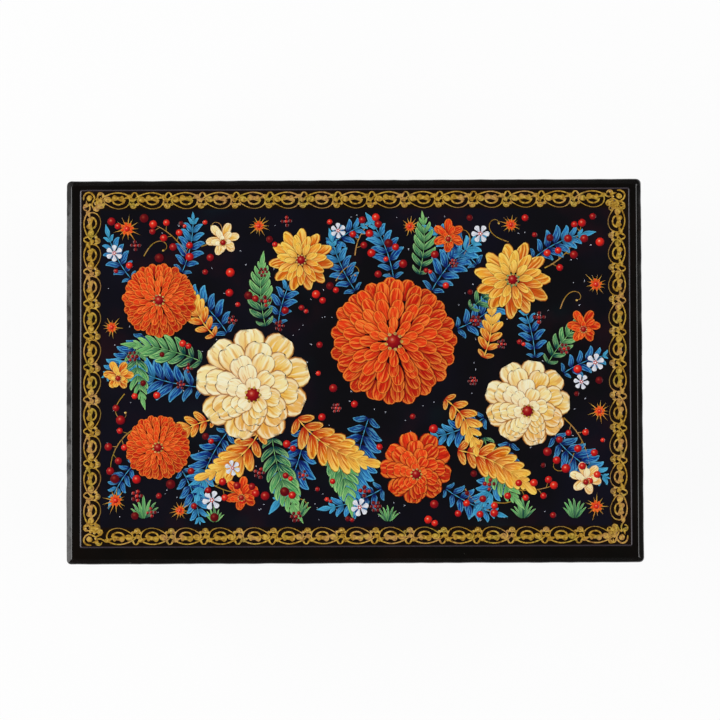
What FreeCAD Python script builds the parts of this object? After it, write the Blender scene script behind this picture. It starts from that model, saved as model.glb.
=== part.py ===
import FreeCAD, Part
import os

import Sketcher

# Small hinged lacquer box, 90 x 60 mm. Millimetres, +Z up, +Y towards the hinge.
# The origin is the centre of the footprint, at the height the box stands on.

os.makedirs("parts", exist_ok=True)
doc = FreeCAD.newDocument("lacquer_box")
vector = FreeCAD.Vector

# Driving sizes
driving_sizes = {
    "lid_width": 90,
    "lid_depth": 60,
    "lid_thickness": 5,
    "lid_bevel": 0.9,
    "lid_corner_radius": 1,
    "lid_overhang": 1,
    "body_height": 27,
    "body_corner_radius": 0.8,
    "wall_thickness": 4.5,
    "base_thickness": 3,
    "edge_softening": 0.4,
    "sheet_thickness": 0.2,
    "sheet_margin": 2,
    "sheet_shift_right": 0.15,
    "sheet_shift_back": 0.55,
    "sheet_corner_radius": 0.4,
    "lip_thickness": 1.6,
    "lip_height": 2,
    "lip_clearance": 0.4,
    "lip_lead": 0.3,
    "hinge_length": 45,
    "barrel_radius": 0.9,
    "barrel_cover": 0.1,
    "barrel_clearance": 0.1,
    "knuckle_gap": 0.15,
    "leaf_thickness": 0.5,
    "leaf_gap": 0.1,
    "leaf_margin": 0.4,
    "leaf_clearance": 0.1,
    "pin_radius": 0.45,
    "pin_clearance": 0.03,
    "pin_end_chamfer": 0.1,
    "nail_radius": 0.35,
    "nail_head_radius": 0.7,
    "nail_length": 3,
    "nail_clearance": 0.02,
    "cut_overrun": 1,
}
knuckle_count = 5
nail_count = 4
v_groove_half_angle = 49

sheet = doc.addObject("Spreadsheet::Sheet", "sizes")
for row, (alias, value) in enumerate(driving_sizes.items(), start=1):
    sheet.set(f"A{row}", str(value))
    sheet.setAlias(f"A{row}", alias)
doc.recompute()

# Places worked out from the driving sizes, as expressions
lid_half_width = "sizes.lid_width / 2"
lid_half_depth = "sizes.lid_depth / 2"
lid_top = "(sizes.body_height + sizes.lid_thickness)"
body_half_width = "(sizes.lid_width / 2 - sizes.lid_overhang)"
body_front = "(sizes.lid_overhang - sizes.lid_depth / 2)"
body_back = "(sizes.lid_depth / 2)"
inner_half_width = f"({body_half_width} - sizes.wall_thickness)"
inner_front = f"({body_front} + sizes.wall_thickness)"
inner_back = f"({body_back} - sizes.wall_thickness)"
wall_height = "(sizes.body_height - sizes.base_thickness)"
barrel_inset = "(sizes.barrel_radius + sizes.barrel_cover)"
axis_depth = f"({body_back} - {barrel_inset})"
groove_radius = "(sizes.barrel_radius + sizes.barrel_clearance)"
leaf_front = f"({inner_back} + sizes.leaf_margin)"
leaf_back = f"({axis_depth} - {groove_radius})"
knuckle_pitch = f"(sizes.hinge_length / {knuckle_count})"
barrel_length = "(sizes.hinge_length - sizes.knuckle_gap)"


def new_body(label):
    body = doc.addObject("PartDesign::Body", label)
    body.Label = label
    return body


def new_sketch(body, name, role, lift=None):
    """A sketch on one of the body's own origin planes, lifted along the plane's normal."""
    sketch = body.newObject("Sketcher::SketchObject", name)
    plane = next(item for item in body.Origin.OriginFeatures if item.Role == role)
    sketch.AttachmentSupport = [(plane, "")]
    sketch.MapMode = "FlatFace"
    if lift:
        sketch.setExpression("AttachmentOffset.Base.z", lift)
    return sketch


def tie_point(sketch, edge, end, across, up):
    """Hold one end of a sketch edge at a place given by two expressions."""
    places = {"DistanceX": across, "DistanceY": up}
    for kind, expression in places.items():
        value = float(sketch.evalExpression(expression))
        index = sketch.addConstraint(Sketcher.Constraint(kind, -1, 1, edge, end, value))
        sketch.setExpression(f"Constraints[{index}]", expression)


def polygon_sketch(body, name, role, corners, lift=None):
    sketch = new_sketch(body, name, role, lift)
    points = []
    for across, up in corners:
        x = float(sketch.evalExpression(across))
        y = float(sketch.evalExpression(up))
        points.append(vector(x, y, 0))
    count = len(points)
    for i in range(count):
        sketch.addGeometry(Part.LineSegment(points[i], points[(i + 1) % count]))
    for i in range(count):
        sketch.addConstraint(Sketcher.Constraint("Coincident", i, 2, (i + 1) % count, 1))
    for i, (across, up) in enumerate(corners):
        tie_point(sketch, i, 1, across, up)
    return sketch


def rectangle_sketch(body, name, role, left, right, low, high, lift=None):
    corners = [(left, low), (right, low), (right, high), (left, high)]
    return polygon_sketch(body, name, role, corners, lift)


def circle_sketch(body, name, role, centres, radius, lift=None):
    sketch = new_sketch(body, name, role, lift)
    size = float(sketch.evalExpression(radius))
    for across, up in centres:
        x = float(sketch.evalExpression(across))
        y = float(sketch.evalExpression(up))
        circle = Part.Circle(vector(x, y, 0), vector(0, 0, 1), size)
        edge = sketch.addGeometry(circle)
        index = sketch.addConstraint(Sketcher.Constraint("Radius", edge, size))
        sketch.setExpression(f"Constraints[{index}]", radius)
        tie_point(sketch, edge, 3, across, up)
    return sketch


def pad(body, sketch, length):
    feature = body.newObject("PartDesign::Pad", f"{sketch.Name}_pad")
    feature.Profile = sketch
    feature.setExpression("Length", length)
    doc.recompute()
    return feature


def pocket(body, sketch, length, both_ways=False, upwards=False):
    """Cut a sketch out of the body, and make sure that it took something away."""
    before = body.Shape.Volume
    feature = body.newObject("PartDesign::Pocket", f"{sketch.Name}_pocket")
    feature.Profile = sketch
    feature.setExpression("Length", length)
    feature.Reversed = upwards
    if both_ways:
        feature.SideType = "Symmetric"
    doc.recompute()
    if not body.Shape.Volume < before:
        raise RuntimeError(f"{feature.Name} cuts nothing")
    return feature


def dress(body, kind, name, size, edge_test):
    """Fillet or chamfer the edges of the body's tip that pass the test."""
    base = body.Tip
    edges = []
    for number, edge in enumerate(base.Shape.Edges, start=1):
        if edge_test(edge.BoundBox):
            edges.append(f"Edge{number}")
    feature = body.newObject(f"PartDesign::{kind}", name)
    feature.Base = (base, edges)
    feature.setExpression("Radius" if kind == "Fillet" else "Size", size)
    doc.recompute()
    return feature


def value_of(expression):
    return float(sheet.evalExpression(expression.replace("sizes.", "")))


def near(first, second):
    return abs(first - second) < value_of("sizes.cut_overrun") / 1000


def is_upright(box):
    return near(box.XLength, 0) and near(box.YLength, 0)


def is_level_at(box, height):
    return near(box.ZMin, height) and near(box.ZMax, height)


# Base board, under the four walls
def make_base_board():
    body = new_body("base_board")
    outline = rectangle_sketch(
        body, "base_outline", "XY_Plane",
        f"-{body_half_width}", body_half_width, body_front, body_back,
    )
    pad(body, outline, "sizes.base_thickness")
    dress(body, "Fillet", "base_corners", "sizes.body_corner_radius", is_upright)
    dress(
        body, "Fillet", "base_foot", "sizes.edge_softening",
        lambda box: is_level_at(box, 0),
    )
    return body


# Walls: the front and back ones run the full width, the side ones fit between them
def make_wall(label, left, right, low, high):
    body = new_body(label)
    outline = rectangle_sketch(
        body, f"{label}_outline", "XY_Plane", left, right, low, high, "sizes.base_thickness",
    )
    pad(body, outline, wall_height)
    return body


def round_ends(body, name, outer_depth):
    """Round the two upright corners that are on the outside of the box."""
    outside = value_of(outer_depth)
    dress(
        body, "Fillet", name, "sizes.body_corner_radius",
        lambda box: is_upright(box) and near(box.YMin, outside),
    )


def make_walls():
    front = make_wall(
        "front_wall", f"-{body_half_width}", body_half_width, body_front, inner_front,
    )
    round_ends(front, "front_wall_corners", body_front)
    back = make_wall("back_wall", f"-{body_half_width}", body_half_width, inner_back, body_back)
    round_ends(back, "back_wall_corners", body_back)
    cut_hinge_seat(back, "back_wall", upwards=False)
    make_wall(
        "left_wall", f"-{body_half_width}", f"-{inner_half_width}", inner_front, inner_back,
    )
    make_wall("right_wall", inner_half_width, body_half_width, inner_front, inner_back)


# The hinge's seat: a bevel through the axis, a groove for the barrel, a recess for the
# leaf and the nail holes. It is cut down into the back wall and up into the lid.
def nail_centres():
    """The nails stand at the middle of equal parts of the hinge, along the leaf's flat."""
    centres = []
    for i in range(nail_count):
        place_share = (i + 0.5) / nail_count - 0.5
        centres.append(
            (f"sizes.hinge_length * {place_share}", f"({leaf_front} + {leaf_back}) / 2")
        )
    return centres


def cut_hinge_seat(body, label, upwards):
    way = "+" if upwards else "-"
    back = f"({body_back} + sizes.cut_overrun)"
    drop = f"({barrel_inset} + sizes.cut_overrun) * tan({v_groove_half_angle} deg)"
    parting = "sizes.body_height"
    other_side = f"({parting} {'-' if upwards else '+'} sizes.cut_overrun)"
    bevel = polygon_sketch(
        body, f"{label}_bevel", "YZ_Plane",
        [
            (axis_depth, parting),
            (back, f"{parting} {way} {drop}"),
            (back, other_side),
            (axis_depth, other_side),
        ],
    )
    pocket(body, bevel, "sizes.lid_width + 2 * sizes.cut_overrun", both_ways=True)
    groove = circle_sketch(
        body, f"{label}_barrel_groove", "YZ_Plane", [(axis_depth, parting)], groove_radius,
    )
    seat_length = "(sizes.hinge_length + 2 * sizes.leaf_clearance)"
    pocket(body, groove, seat_length, both_ways=True)
    recess = rectangle_sketch(
        body, f"{label}_leaf_recess", "XY_Plane",
        f"-{seat_length} / 2", f"{seat_length} / 2",
        f"{leaf_front} - sizes.leaf_clearance", axis_depth, parting,
    )
    pocket(body, recess, "sizes.leaf_thickness + sizes.leaf_gap / 2", upwards=upwards)
    holes = circle_sketch(
        body, f"{label}_nail_holes", "XY_Plane", nail_centres(),
        "sizes.nail_radius + sizes.nail_clearance", parting,
    )
    hole_depth = "sizes.nail_length + sizes.leaf_gap / 2 + sizes.nail_clearance"
    pocket(body, holes, hole_depth, upwards=upwards)


# Lid board, with the bevel round its top
def make_lid_board():
    body = new_body("lid_board")
    outline = rectangle_sketch(
        body, "lid_outline", "XY_Plane",
        f"-{lid_half_width}", lid_half_width, f"-{lid_half_depth}", lid_half_depth,
        "sizes.body_height",
    )
    pad(body, outline, "sizes.lid_thickness")
    dress(body, "Fillet", "lid_corners", "sizes.lid_corner_radius", is_upright)
    top = value_of(lid_top)
    dress(
        body, "Chamfer", "lid_top_bevel", "sizes.lid_bevel", lambda box: is_level_at(box, top),
    )
    under = value_of("sizes.body_height")
    dress(
        body, "Fillet", "lid_under_edge", "sizes.edge_softening",
        lambda box: is_level_at(box, under),
    )
    cut_hinge_seat(body, "lid_board", upwards=True)


# Picture sheet on the lid, set a little towards the back as it was pasted
def make_picture_sheet():
    body = new_body("picture_sheet")
    across = f"({lid_half_width} - sizes.sheet_margin)"
    along = f"({lid_half_depth} - sizes.sheet_margin)"
    outline = rectangle_sketch(
        body, "sheet_outline", "XY_Plane",
        f"sizes.sheet_shift_right - {across}", f"sizes.sheet_shift_right + {across}",
        f"sizes.sheet_shift_back - {along}", f"sizes.sheet_shift_back + {along}",
        lid_top,
    )
    pad(body, outline, "sizes.sheet_thickness")
    dress(body, "Fillet", "sheet_corners", "sizes.sheet_corner_radius", is_upright)


# Lip strips under the lid, clear of the walls, with a lead-in along their outer edge
def make_lip(label, left, right, low, high, is_outer_edge):
    body = new_body(label)
    outline = rectangle_sketch(
        body, f"{label}_outline", "XY_Plane", left, right, low, high,
        "sizes.body_height - sizes.lip_height",
    )
    pad(body, outline, "sizes.lip_height")
    bottom = value_of("sizes.body_height - sizes.lip_height")
    dress(
        body, "Chamfer", f"{label}_lead", "sizes.lip_lead",
        lambda box: is_level_at(box, bottom) and is_outer_edge(box),
    )


def make_lips():
    outer_side = f"({inner_half_width} - sizes.lip_clearance)"
    inner_side = f"({outer_side} - sizes.lip_thickness)"
    outer_front = f"({inner_front} + sizes.lip_clearance)"
    inner_of_front = f"({outer_front} + sizes.lip_thickness)"
    outer_back = f"({inner_back} - sizes.lip_clearance)"
    inner_of_back = f"({outer_back} - sizes.lip_thickness)"
    side = value_of(outer_side)
    front = value_of(outer_front)
    back = value_of(outer_back)
    make_lip(
        "lid_lip_front", f"-{outer_side}", outer_side, outer_front, inner_of_front,
        lambda box: near(box.YMax, front),
    )
    make_lip(
        "lid_lip_back", f"-{outer_side}", outer_side, inner_of_back, outer_back,
        lambda box: near(box.YMin, back),
    )
    make_lip(
        "lid_lip_left", f"-{outer_side}", f"-{inner_side}", inner_of_front, inner_of_back,
        lambda box: near(box.XMax, -side),
    )
    make_lip(
        "lid_lip_right", inner_side, outer_side, inner_of_front, inner_of_back,
        lambda box: near(box.XMin, side),
    )


# Hinge: two leaves with interleaved knuckles, a pin, and countersunk nails
def add_part(kind, name, expressions):
    item = doc.addObject(f"Part::{kind}", name)
    for target, expression in expressions.items():
        item.setExpression(target, expression)
    return item


def along_x(item):
    """Turn a cylinder or cone so that its own axis lies along +X."""
    item.setExpression("Placement.Rotation.Axis.x", "0")
    item.setExpression("Placement.Rotation.Axis.y", "1")
    item.setExpression("Placement.Rotation.Axis.z", "0")
    item.setExpression("Placement.Rotation.Angle", "90 deg")


def hinge_box(name, left, length, front, depth, low, height):
    return add_part("Box", name, {
        "Length": length,
        "Width": depth,
        "Height": height,
        "Placement.Base.x": left,
        "Placement.Base.y": front,
        "Placement.Base.z": low,
    })


def barrel_cylinder(name, left, length, radius):
    cylinder = add_part("Cylinder", name, {
        "Radius": radius,
        "Height": length,
        "Placement.Base.x": left,
        "Placement.Base.y": axis_depth,
        "Placement.Base.z": "sizes.body_height",
    })
    along_x(cylinder)
    return cylinder


def join(kind, name, pieces):
    item = doc.addObject(f"Part::{kind}", name)
    if kind == "Compound":
        item.Links = pieces
    else:
        item.Shapes = pieces
    return item


def nail(name, across, along, upwards, allowance):
    """A countersunk nail, or the hole it goes through when there is an allowance."""
    if upwards:
        head_low = "sizes.body_height + sizes.leaf_gap / 2"
        shank_low = f"{head_low} + sizes.leaf_thickness"
        radii = ("sizes.nail_head_radius", "sizes.nail_radius")
    else:
        head_low = "sizes.body_height - sizes.leaf_gap / 2 - sizes.leaf_thickness"
        shank_low = "sizes.body_height - sizes.leaf_gap / 2 - sizes.nail_length"
        radii = ("sizes.nail_radius", "sizes.nail_head_radius")
    place = {"Placement.Base.x": across, "Placement.Base.y": along}
    head = add_part("Cone", f"{name}_head", {
        "Radius1": f"{radii[0]} + {allowance}",
        "Radius2": f"{radii[1]} + {allowance}",
        "Height": "sizes.leaf_thickness",
        "Placement.Base.z": head_low,
        **place,
    })
    if allowance != "0":
        return head
    shank = add_part("Cylinder", f"{name}_shank", {
        "Radius": "sizes.nail_radius",
        "Height": "sizes.nail_length - sizes.leaf_thickness",
        "Placement.Base.z": shank_low,
        **place,
    })
    return join("MultiFuse", name, [head, shank])


def make_leaf(label, own_knuckles, upwards):
    low = "sizes.body_height + sizes.leaf_gap / 2"
    if not upwards:
        low = "sizes.body_height - sizes.leaf_gap / 2 - sizes.leaf_thickness"
    left = "-sizes.hinge_length / 2"
    flat = f"({leaf_back} - {leaf_front})"
    metal = [
        hinge_box(
            f"{label}_flat", f"{left} + sizes.knuckle_gap / 2", barrel_length,
            leaf_front, flat, low, "sizes.leaf_thickness",
        )
    ]
    for i in own_knuckles:
        start = f"{left} + {i} * {knuckle_pitch} + sizes.knuckle_gap / 2"
        length = f"{knuckle_pitch} - sizes.knuckle_gap"
        metal.append(
            hinge_box(
                f"{label}_tab_{i}", start, length,
                leaf_front, f"{axis_depth} - {leaf_front}", low, "sizes.leaf_thickness",
            )
        )
        metal.append(barrel_cylinder(f"{label}_knuckle_{i}", start, length, "sizes.barrel_radius"))
    solid = join("MultiFuse", f"{label}_metal", metal)
    holes = [
        barrel_cylinder(
            f"{label}_bore", f"{left} - sizes.cut_overrun",
            "sizes.hinge_length + 2 * sizes.cut_overrun", "sizes.pin_radius + sizes.pin_clearance",
        )
    ]
    for i, (across, along) in enumerate(nail_centres()):
        holes.append(
            nail(f"{label}_countersink_{i}", across, along, upwards, "sizes.nail_clearance")
        )
    leaf = doc.addObject("Part::Cut", label)
    leaf.Base = solid
    leaf.Tool = join("MultiFuse", f"{label}_holes", holes)
    leaf.Label = label


def make_nails(label, upwards):
    nails = []
    for i, (across, along) in enumerate(nail_centres()):
        nails.append(nail(f"{label}_{i}", across, along, upwards, "0"))
    group = join("Compound", label, nails)
    group.Label = label


def make_pin():
    body = new_body("hinge_pin")
    outline = circle_sketch(
        body, "pin_outline", "YZ_Plane", [(axis_depth, "sizes.body_height")], "sizes.pin_radius",
        f"-{barrel_length} / 2",
    )
    pad(body, outline, barrel_length)
    dress(
        body, "Chamfer", "pin_ends", "sizes.pin_end_chamfer",
        lambda box: near(box.XLength, 0),
    )


make_base_board()
make_walls()
make_lid_board()
make_picture_sheet()
make_lips()
make_leaf("hinge_leaf_body", range(0, knuckle_count, 2), upwards=False)
make_leaf("hinge_leaf_lid", range(1, knuckle_count, 2), upwards=True)
make_pin()
make_nails("body_leaf_nails", upwards=False)
make_nails("lid_leaf_nails", upwards=True)
doc.recompute()

nodes = [
    "base_board", "front_wall", "back_wall", "left_wall", "right_wall",
    "lid_board", "picture_sheet",
    "lid_lip_front", "lid_lip_back", "lid_lip_left", "lid_lip_right",
    "hinge_leaf_body", "hinge_leaf_lid", "hinge_pin",
    "body_leaf_nails", "lid_leaf_nails",
]

for item in doc.Objects:
    if "Invalid" in item.State or "Error" in item.State:
        raise RuntimeError(f"{item.Name} failed: {item.State}")
for node in nodes:
    shape = doc.getObjectsByLabel(node)[0].Shape
    if shape.isNull() or not shape.isValid():
        raise RuntimeError(f"{node} has no valid shape")
    box = shape.BoundBox
    print(
        f"{node}: {len(shape.Solids)} solid(s), {shape.Volume:.1f} mm3, "
        f"x {box.XMin:.2f}..{box.XMax:.2f}, y {box.YMin:.2f}..{box.YMax:.2f}, "
        f"z {box.ZMin:.2f}..{box.ZMax:.2f}"
    )
    shape.exportStep(f"parts/{node}.step")
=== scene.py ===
import math
import random

import bpy
import numpy
from mathutils import Euler, Matrix, Vector


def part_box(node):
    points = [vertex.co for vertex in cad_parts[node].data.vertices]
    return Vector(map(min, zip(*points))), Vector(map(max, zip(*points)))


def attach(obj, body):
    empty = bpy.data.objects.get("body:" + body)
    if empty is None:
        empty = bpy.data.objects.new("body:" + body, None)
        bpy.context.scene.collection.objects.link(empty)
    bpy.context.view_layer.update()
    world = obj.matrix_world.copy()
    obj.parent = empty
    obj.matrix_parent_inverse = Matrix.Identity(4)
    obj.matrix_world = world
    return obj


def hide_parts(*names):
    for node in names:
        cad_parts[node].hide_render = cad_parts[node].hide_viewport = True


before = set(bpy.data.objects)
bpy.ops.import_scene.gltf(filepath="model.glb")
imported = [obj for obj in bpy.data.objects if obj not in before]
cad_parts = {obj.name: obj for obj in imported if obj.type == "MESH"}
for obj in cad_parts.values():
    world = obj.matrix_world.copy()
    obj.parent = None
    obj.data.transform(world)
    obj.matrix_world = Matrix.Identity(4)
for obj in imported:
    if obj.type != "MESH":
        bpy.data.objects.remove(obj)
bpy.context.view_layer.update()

mm = 0.001
hair = 0.01 * mm  # points closer than this are taken as level
print("frame loaded:", len(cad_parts), "nodes")


# Shader maths: a wire carries one value or colour from node to node
class Wire:
    def __init__(self, tree, socket):
        self.tree = tree
        self.socket = socket

    def node(self, kind, settings=None, feeds=None, output=0):
        made = self.tree.nodes.new(kind)
        for name, value in (settings or {}).items():
            if name == "stops":
                fillRamp(made.color_ramp, value)
            else:
                setattr(made, name, value)
        for key, value in (feeds or {}).items():
            if isinstance(value, Wire):
                self.tree.links.new(value.socket, made.inputs[key])
            else:
                made.inputs[key].default_value = value
        return Wire(self.tree, made.outputs[output])

    def maths(self, operation, first, second=None, third=None):
        feeds = {0: first}
        if second is not None:
            feeds[1] = second
        if third is not None:
            feeds[2] = third
        return self.node("ShaderNodeMath", {"operation": operation}, feeds)

    def __add__(self, other):
        return self.maths("ADD", self, other)

    def __radd__(self, other):
        return self.maths("ADD", other, self)

    def __sub__(self, other):
        return self.maths("SUBTRACT", self, other)

    def __rsub__(self, other):
        return self.maths("SUBTRACT", other, self)

    def __mul__(self, other):
        return self.maths("MULTIPLY", self, other)

    def __rmul__(self, other):
        return self.maths("MULTIPLY", other, self)

    def __truediv__(self, other):
        return self.maths("DIVIDE", self, other)

    def __abs__(self):
        return self.maths("ABSOLUTE", self)

    def atLeast(self, other):
        return self.maths("MAXIMUM", self, other)

    def atMost(self, other):
        return self.maths("MINIMUM", self, other)

    def floor(self):
        return self.maths("FLOOR", self)

    def fraction(self):
        return self.maths("FRACT", self)

    def rise(self, low, high):
        # 0 below low, 1 above high, smooth between; high may be the lower one
        if low > high:
            return 1 - self.rise(high, low)
        feeds = {"Value": self, "From Min": low, "From Max": high}
        return self.node("ShaderNodeMapRange", {"interpolation_type": "SMOOTHSTEP"}, feeds)

    def blend(self, first, second):
        # this wire is the mask: 0 gives the first colour, 1 the second
        feeds = {0: self, 6: first, 7: second}
        return self.node("ShaderNodeMix", {"data_type": "RGBA"}, feeds, output=2)

    def ramp(self, stops):
        return self.node("ShaderNodeValToRGB", {"stops": stops}, {"Fac": self})

    def grain(self, scale, detail=2.0, stretch=None):
        # noise from 0 to 1 on this vector; scale is in lumps per metre
        place = self
        if stretch:
            place = self.node("ShaderNodeVectorMath", {"operation": "MULTIPLY"}, {0: self, 1: stretch})
        feeds = {"Vector": place, "Scale": scale, "Detail": detail}
        return place.node("ShaderNodeTexNoise", None, feeds)

    def axis(self, name):
        return self.node("ShaderNodeSeparateXYZ", None, {0: self}, output=name)

    def spread(self, values):
        # values holds the lowest value and how much this wire adds to it
        return self * values[1] + values[0]


def fillRamp(ramp, stops):
    while len(ramp.elements) < len(stops):
        ramp.elements.new(1.0)
    for element, (place, colour) in zip(ramp.elements, stops):
        element.position = place
        element.color = colour


def tint(red, green, blue):
    # a colour named by its 0 to 255 screen values, as the nodes want it
    parts = []
    for part in (red, green, blue):
        share = part / 255
        parts.append(share / 12.92 if share <= 0.04045 else ((share + 0.055) / 1.055) ** 2.4)
    return (*parts, 1.0)


def newFinish(name, constants):
    material = bpy.data.materials.new(name)
    material.use_nodes = True
    tree = material.node_tree
    shader = tree.nodes["Principled BSDF"]
    for socket, value in constants.items():
        shader.inputs[socket].default_value = value
    place = Wire(tree, tree.nodes.new("ShaderNodeTexCoord").outputs["Object"])
    return material, shader, place


def feed(shader, socket, wire):
    wire.tree.links.new(wire.socket, shader.inputs[socket])


def feedBump(shader, height, distance, strength=1.0):
    feeds = {"Height": height, "Distance": distance, "Strength": strength}
    feed(shader, "Normal", height.node("ShaderNodeBump", None, feeds))


# Selecting and editing
def deselectAll():
    bpy.ops.object.select_all(action="DESELECT")


def makeActive(thing):
    deselectAll()
    thing.select_set(True)
    bpy.context.view_layer.objects.active = thing


def added(name):
    # the object that an add operator has just made
    thing = bpy.context.object
    thing.name = name
    thing.data.name = name
    return thing


def settle(thing):
    # put the object's place, turn and size into its mesh
    makeActive(thing)
    bpy.ops.object.transform_apply(location=True, rotation=True, scale=True)


def editEdges(thing, test):
    makeActive(thing)
    bpy.ops.object.mode_set(mode="EDIT")
    bpy.ops.mesh.select_mode(type="EDGE")
    bpy.ops.mesh.select_all(action="DESELECT")
    bpy.ops.object.mode_set(mode="OBJECT")
    points = thing.data.vertices
    for edge in thing.data.edges:
        first, second = (points[i].co for i in edge.vertices)
        edge.select = test(first, second)
    bpy.ops.object.mode_set(mode="EDIT")


def pickPoints(thing, chosen):
    makeActive(thing)
    bpy.ops.object.mode_set(mode="EDIT")
    bpy.ops.mesh.select_mode(type="VERT")
    bpy.ops.mesh.select_all(action="DESELECT")
    bpy.ops.object.mode_set(mode="OBJECT")
    for point in thing.data.vertices:
        point.select = point.index in chosen
    bpy.ops.object.mode_set(mode="EDIT")


def doneEditing():
    bpy.ops.object.mode_set(mode="OBJECT")


def bevelEdges(thing, test, width, segments):
    editEdges(thing, test)
    bpy.ops.mesh.bevel(offset=width, segments=segments, affect="EDGES", clamp_overlap=False)
    doneEditing()


def movePoints(thing, chosen, move):
    pickPoints(thing, chosen)
    bpy.ops.transform.translate(value=move)
    doneEditing()


def applyModifier(thing, kind, settings):
    makeActive(thing)
    modifier = thing.modifiers.new(kind.title(), kind)
    for name, value in settings.items():
        setattr(modifier, name, value)
    bpy.ops.object.modifier_apply(modifier=modifier.name)


def smoothShade(thing, degrees):
    makeActive(thing)
    bpy.ops.object.shade_smooth_by_angle(angle=math.radians(degrees))


def smoothFlats(thing, degrees):
    # round the edges to the eye, and keep the broad faces flat
    smoothShade(thing, degrees)
    applyModifier(thing, "WEIGHTED_NORMAL", {"keep_sharp": True, "weight": 100})


def dress(thing, material):
    thing.data.materials.clear()
    thing.data.materials.append(material)


def boardBetween(name, low, high):
    bpy.ops.mesh.primitive_cube_add(size=1, location=(low + high) / 2)
    board = added(name)
    board.scale = high - low
    settle(board)
    return board


# Camera and light
cameraSizes = {
    "lens": 140.0,
    "sensorWidth": 36.0,
    "place": (2.2, -18.26, 468.4),
    "tilt": 2.618,
    "lean": 0.185,
    "roll": -0.236,
}


def makeCamera():
    bpy.ops.object.camera_add(location=[part * mm for part in cameraSizes["place"]])
    camera = added("camera")
    angles = [math.radians(cameraSizes[name]) for name in ("tilt", "lean", "roll")]
    camera.rotation_euler = Euler(angles, "XYZ")
    camera.data.lens = cameraSizes["lens"]
    camera.data.sensor_width = cameraSizes["sensorWidth"]
    bpy.context.scene.camera = camera


lightSizes = {
    "leftBox": {"place": (-0.60, 0.0, 0.36), "size": (1.2, 0.70), "power": 5.4},
    "leftHigh": {"place": (-0.62, 0.0, 0.64), "size": (1.1, 0.5), "power": 5.6},
    "rightHigh": {"place": (0.60, 0.0, 0.64), "size": (1.1, 0.6), "power": 6.0},
}


def makeLight(name, sizes):
    bpy.ops.object.light_add(type="AREA", location=sizes["place"])
    light = added(name)
    light.data.shape = "RECTANGLE"
    light.data.size, light.data.size_y = sizes["size"]
    light.data.energy = sizes["power"]
    aim = Vector((-sizes["place"][0], -sizes["place"][1], 0))
    light.rotation_euler = aim.to_track_quat("-Z", "Y").to_euler()


# strengths, and the heights between which one turns into the other
worldSizes = {"overhead": 0.03, "level": 0.07, "highFrom": 0.9, "lowTo": 0.1}


def seenDirectly(wire):
    # 1 for what the camera sees, also in a shine or through glass
    rays = wire.node("ShaderNodeLightPath", None, None, "Is Camera Ray")
    shine = wire.node("ShaderNodeLightPath", None, None, "Is Glossy Ray")
    through = wire.node("ShaderNodeLightPath", None, None, "Is Transmission Ray")
    return rays.atLeast(shine).atLeast(through)


def makeWorld():
    world = bpy.data.worlds.new("studio")
    world.use_nodes = True
    bpy.context.scene.world = world
    tree = world.node_tree
    background = tree.nodes["Background"]
    way = Wire(tree, tree.nodes.new("ShaderNodeTexCoord").outputs["Generated"])
    height = abs(way.axis("Z"))
    glow = height.rise(worldSizes["highFrom"], worldSizes["lowTo"])
    glow = glow * (worldSizes["level"] - worldSizes["overhead"])
    glow = glow + worldSizes["overhead"]
    seen = way.node("ShaderNodeLightPath", None, None, "Is Camera Ray")
    strength = glow * (1 - seen) + seen
    tree.links.new(strength.socket, background.inputs["Strength"])
    background.inputs["Color"].default_value = (1, 1, 1, 1)


floorSizes = {"side": 6.0, "shadowShare": 0.07, "matt": (0.9, 0.9, 0.9, 1)}


def makeFloor():
    bpy.ops.mesh.primitive_plane_add(size=floorSizes["side"], location=(0, 0, 0))
    floor = added("floor")
    material = bpy.data.materials.new("paleFloor")
    material.use_nodes = True
    tree = material.node_tree
    tree.nodes.remove(tree.nodes["Principled BSDF"])
    out = Wire(tree, tree.nodes["Material Output"].inputs["Surface"])
    white = out.node("ShaderNodeEmission", None, {"Color": (1, 1, 1, 1), "Strength": 1.0})
    matt = out.node("ShaderNodeBsdfDiffuse", None, {"Color": floorSizes["matt"]})
    share = seenDirectly(out) * (1 - floorSizes["shadowShare"])
    shown = out.node("ShaderNodeMixShader", None, {0: share, 1: matt, 2: white})
    tree.links.new(shown.socket, out.socket)
    dress(floor, material)


bpy.context.scene.view_settings.view_transform = "Standard"
makeCamera()
for lightName, lightSize in lightSizes.items():
    makeLight(lightName, lightSize)
makeWorld()
makeFloor()
print("camera, light and floor made")


# Lacquer, inside and outside the box
boxSizes = {
    "innerHalfWidth": 39.5,
    "innerFront": -24.5,
    "innerBack": 25.5,
    "innerFloor": 3.0,
    "rim": 27.0,
    "lip": 1.0,
    "paintEdge": 0.05,
}

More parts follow.
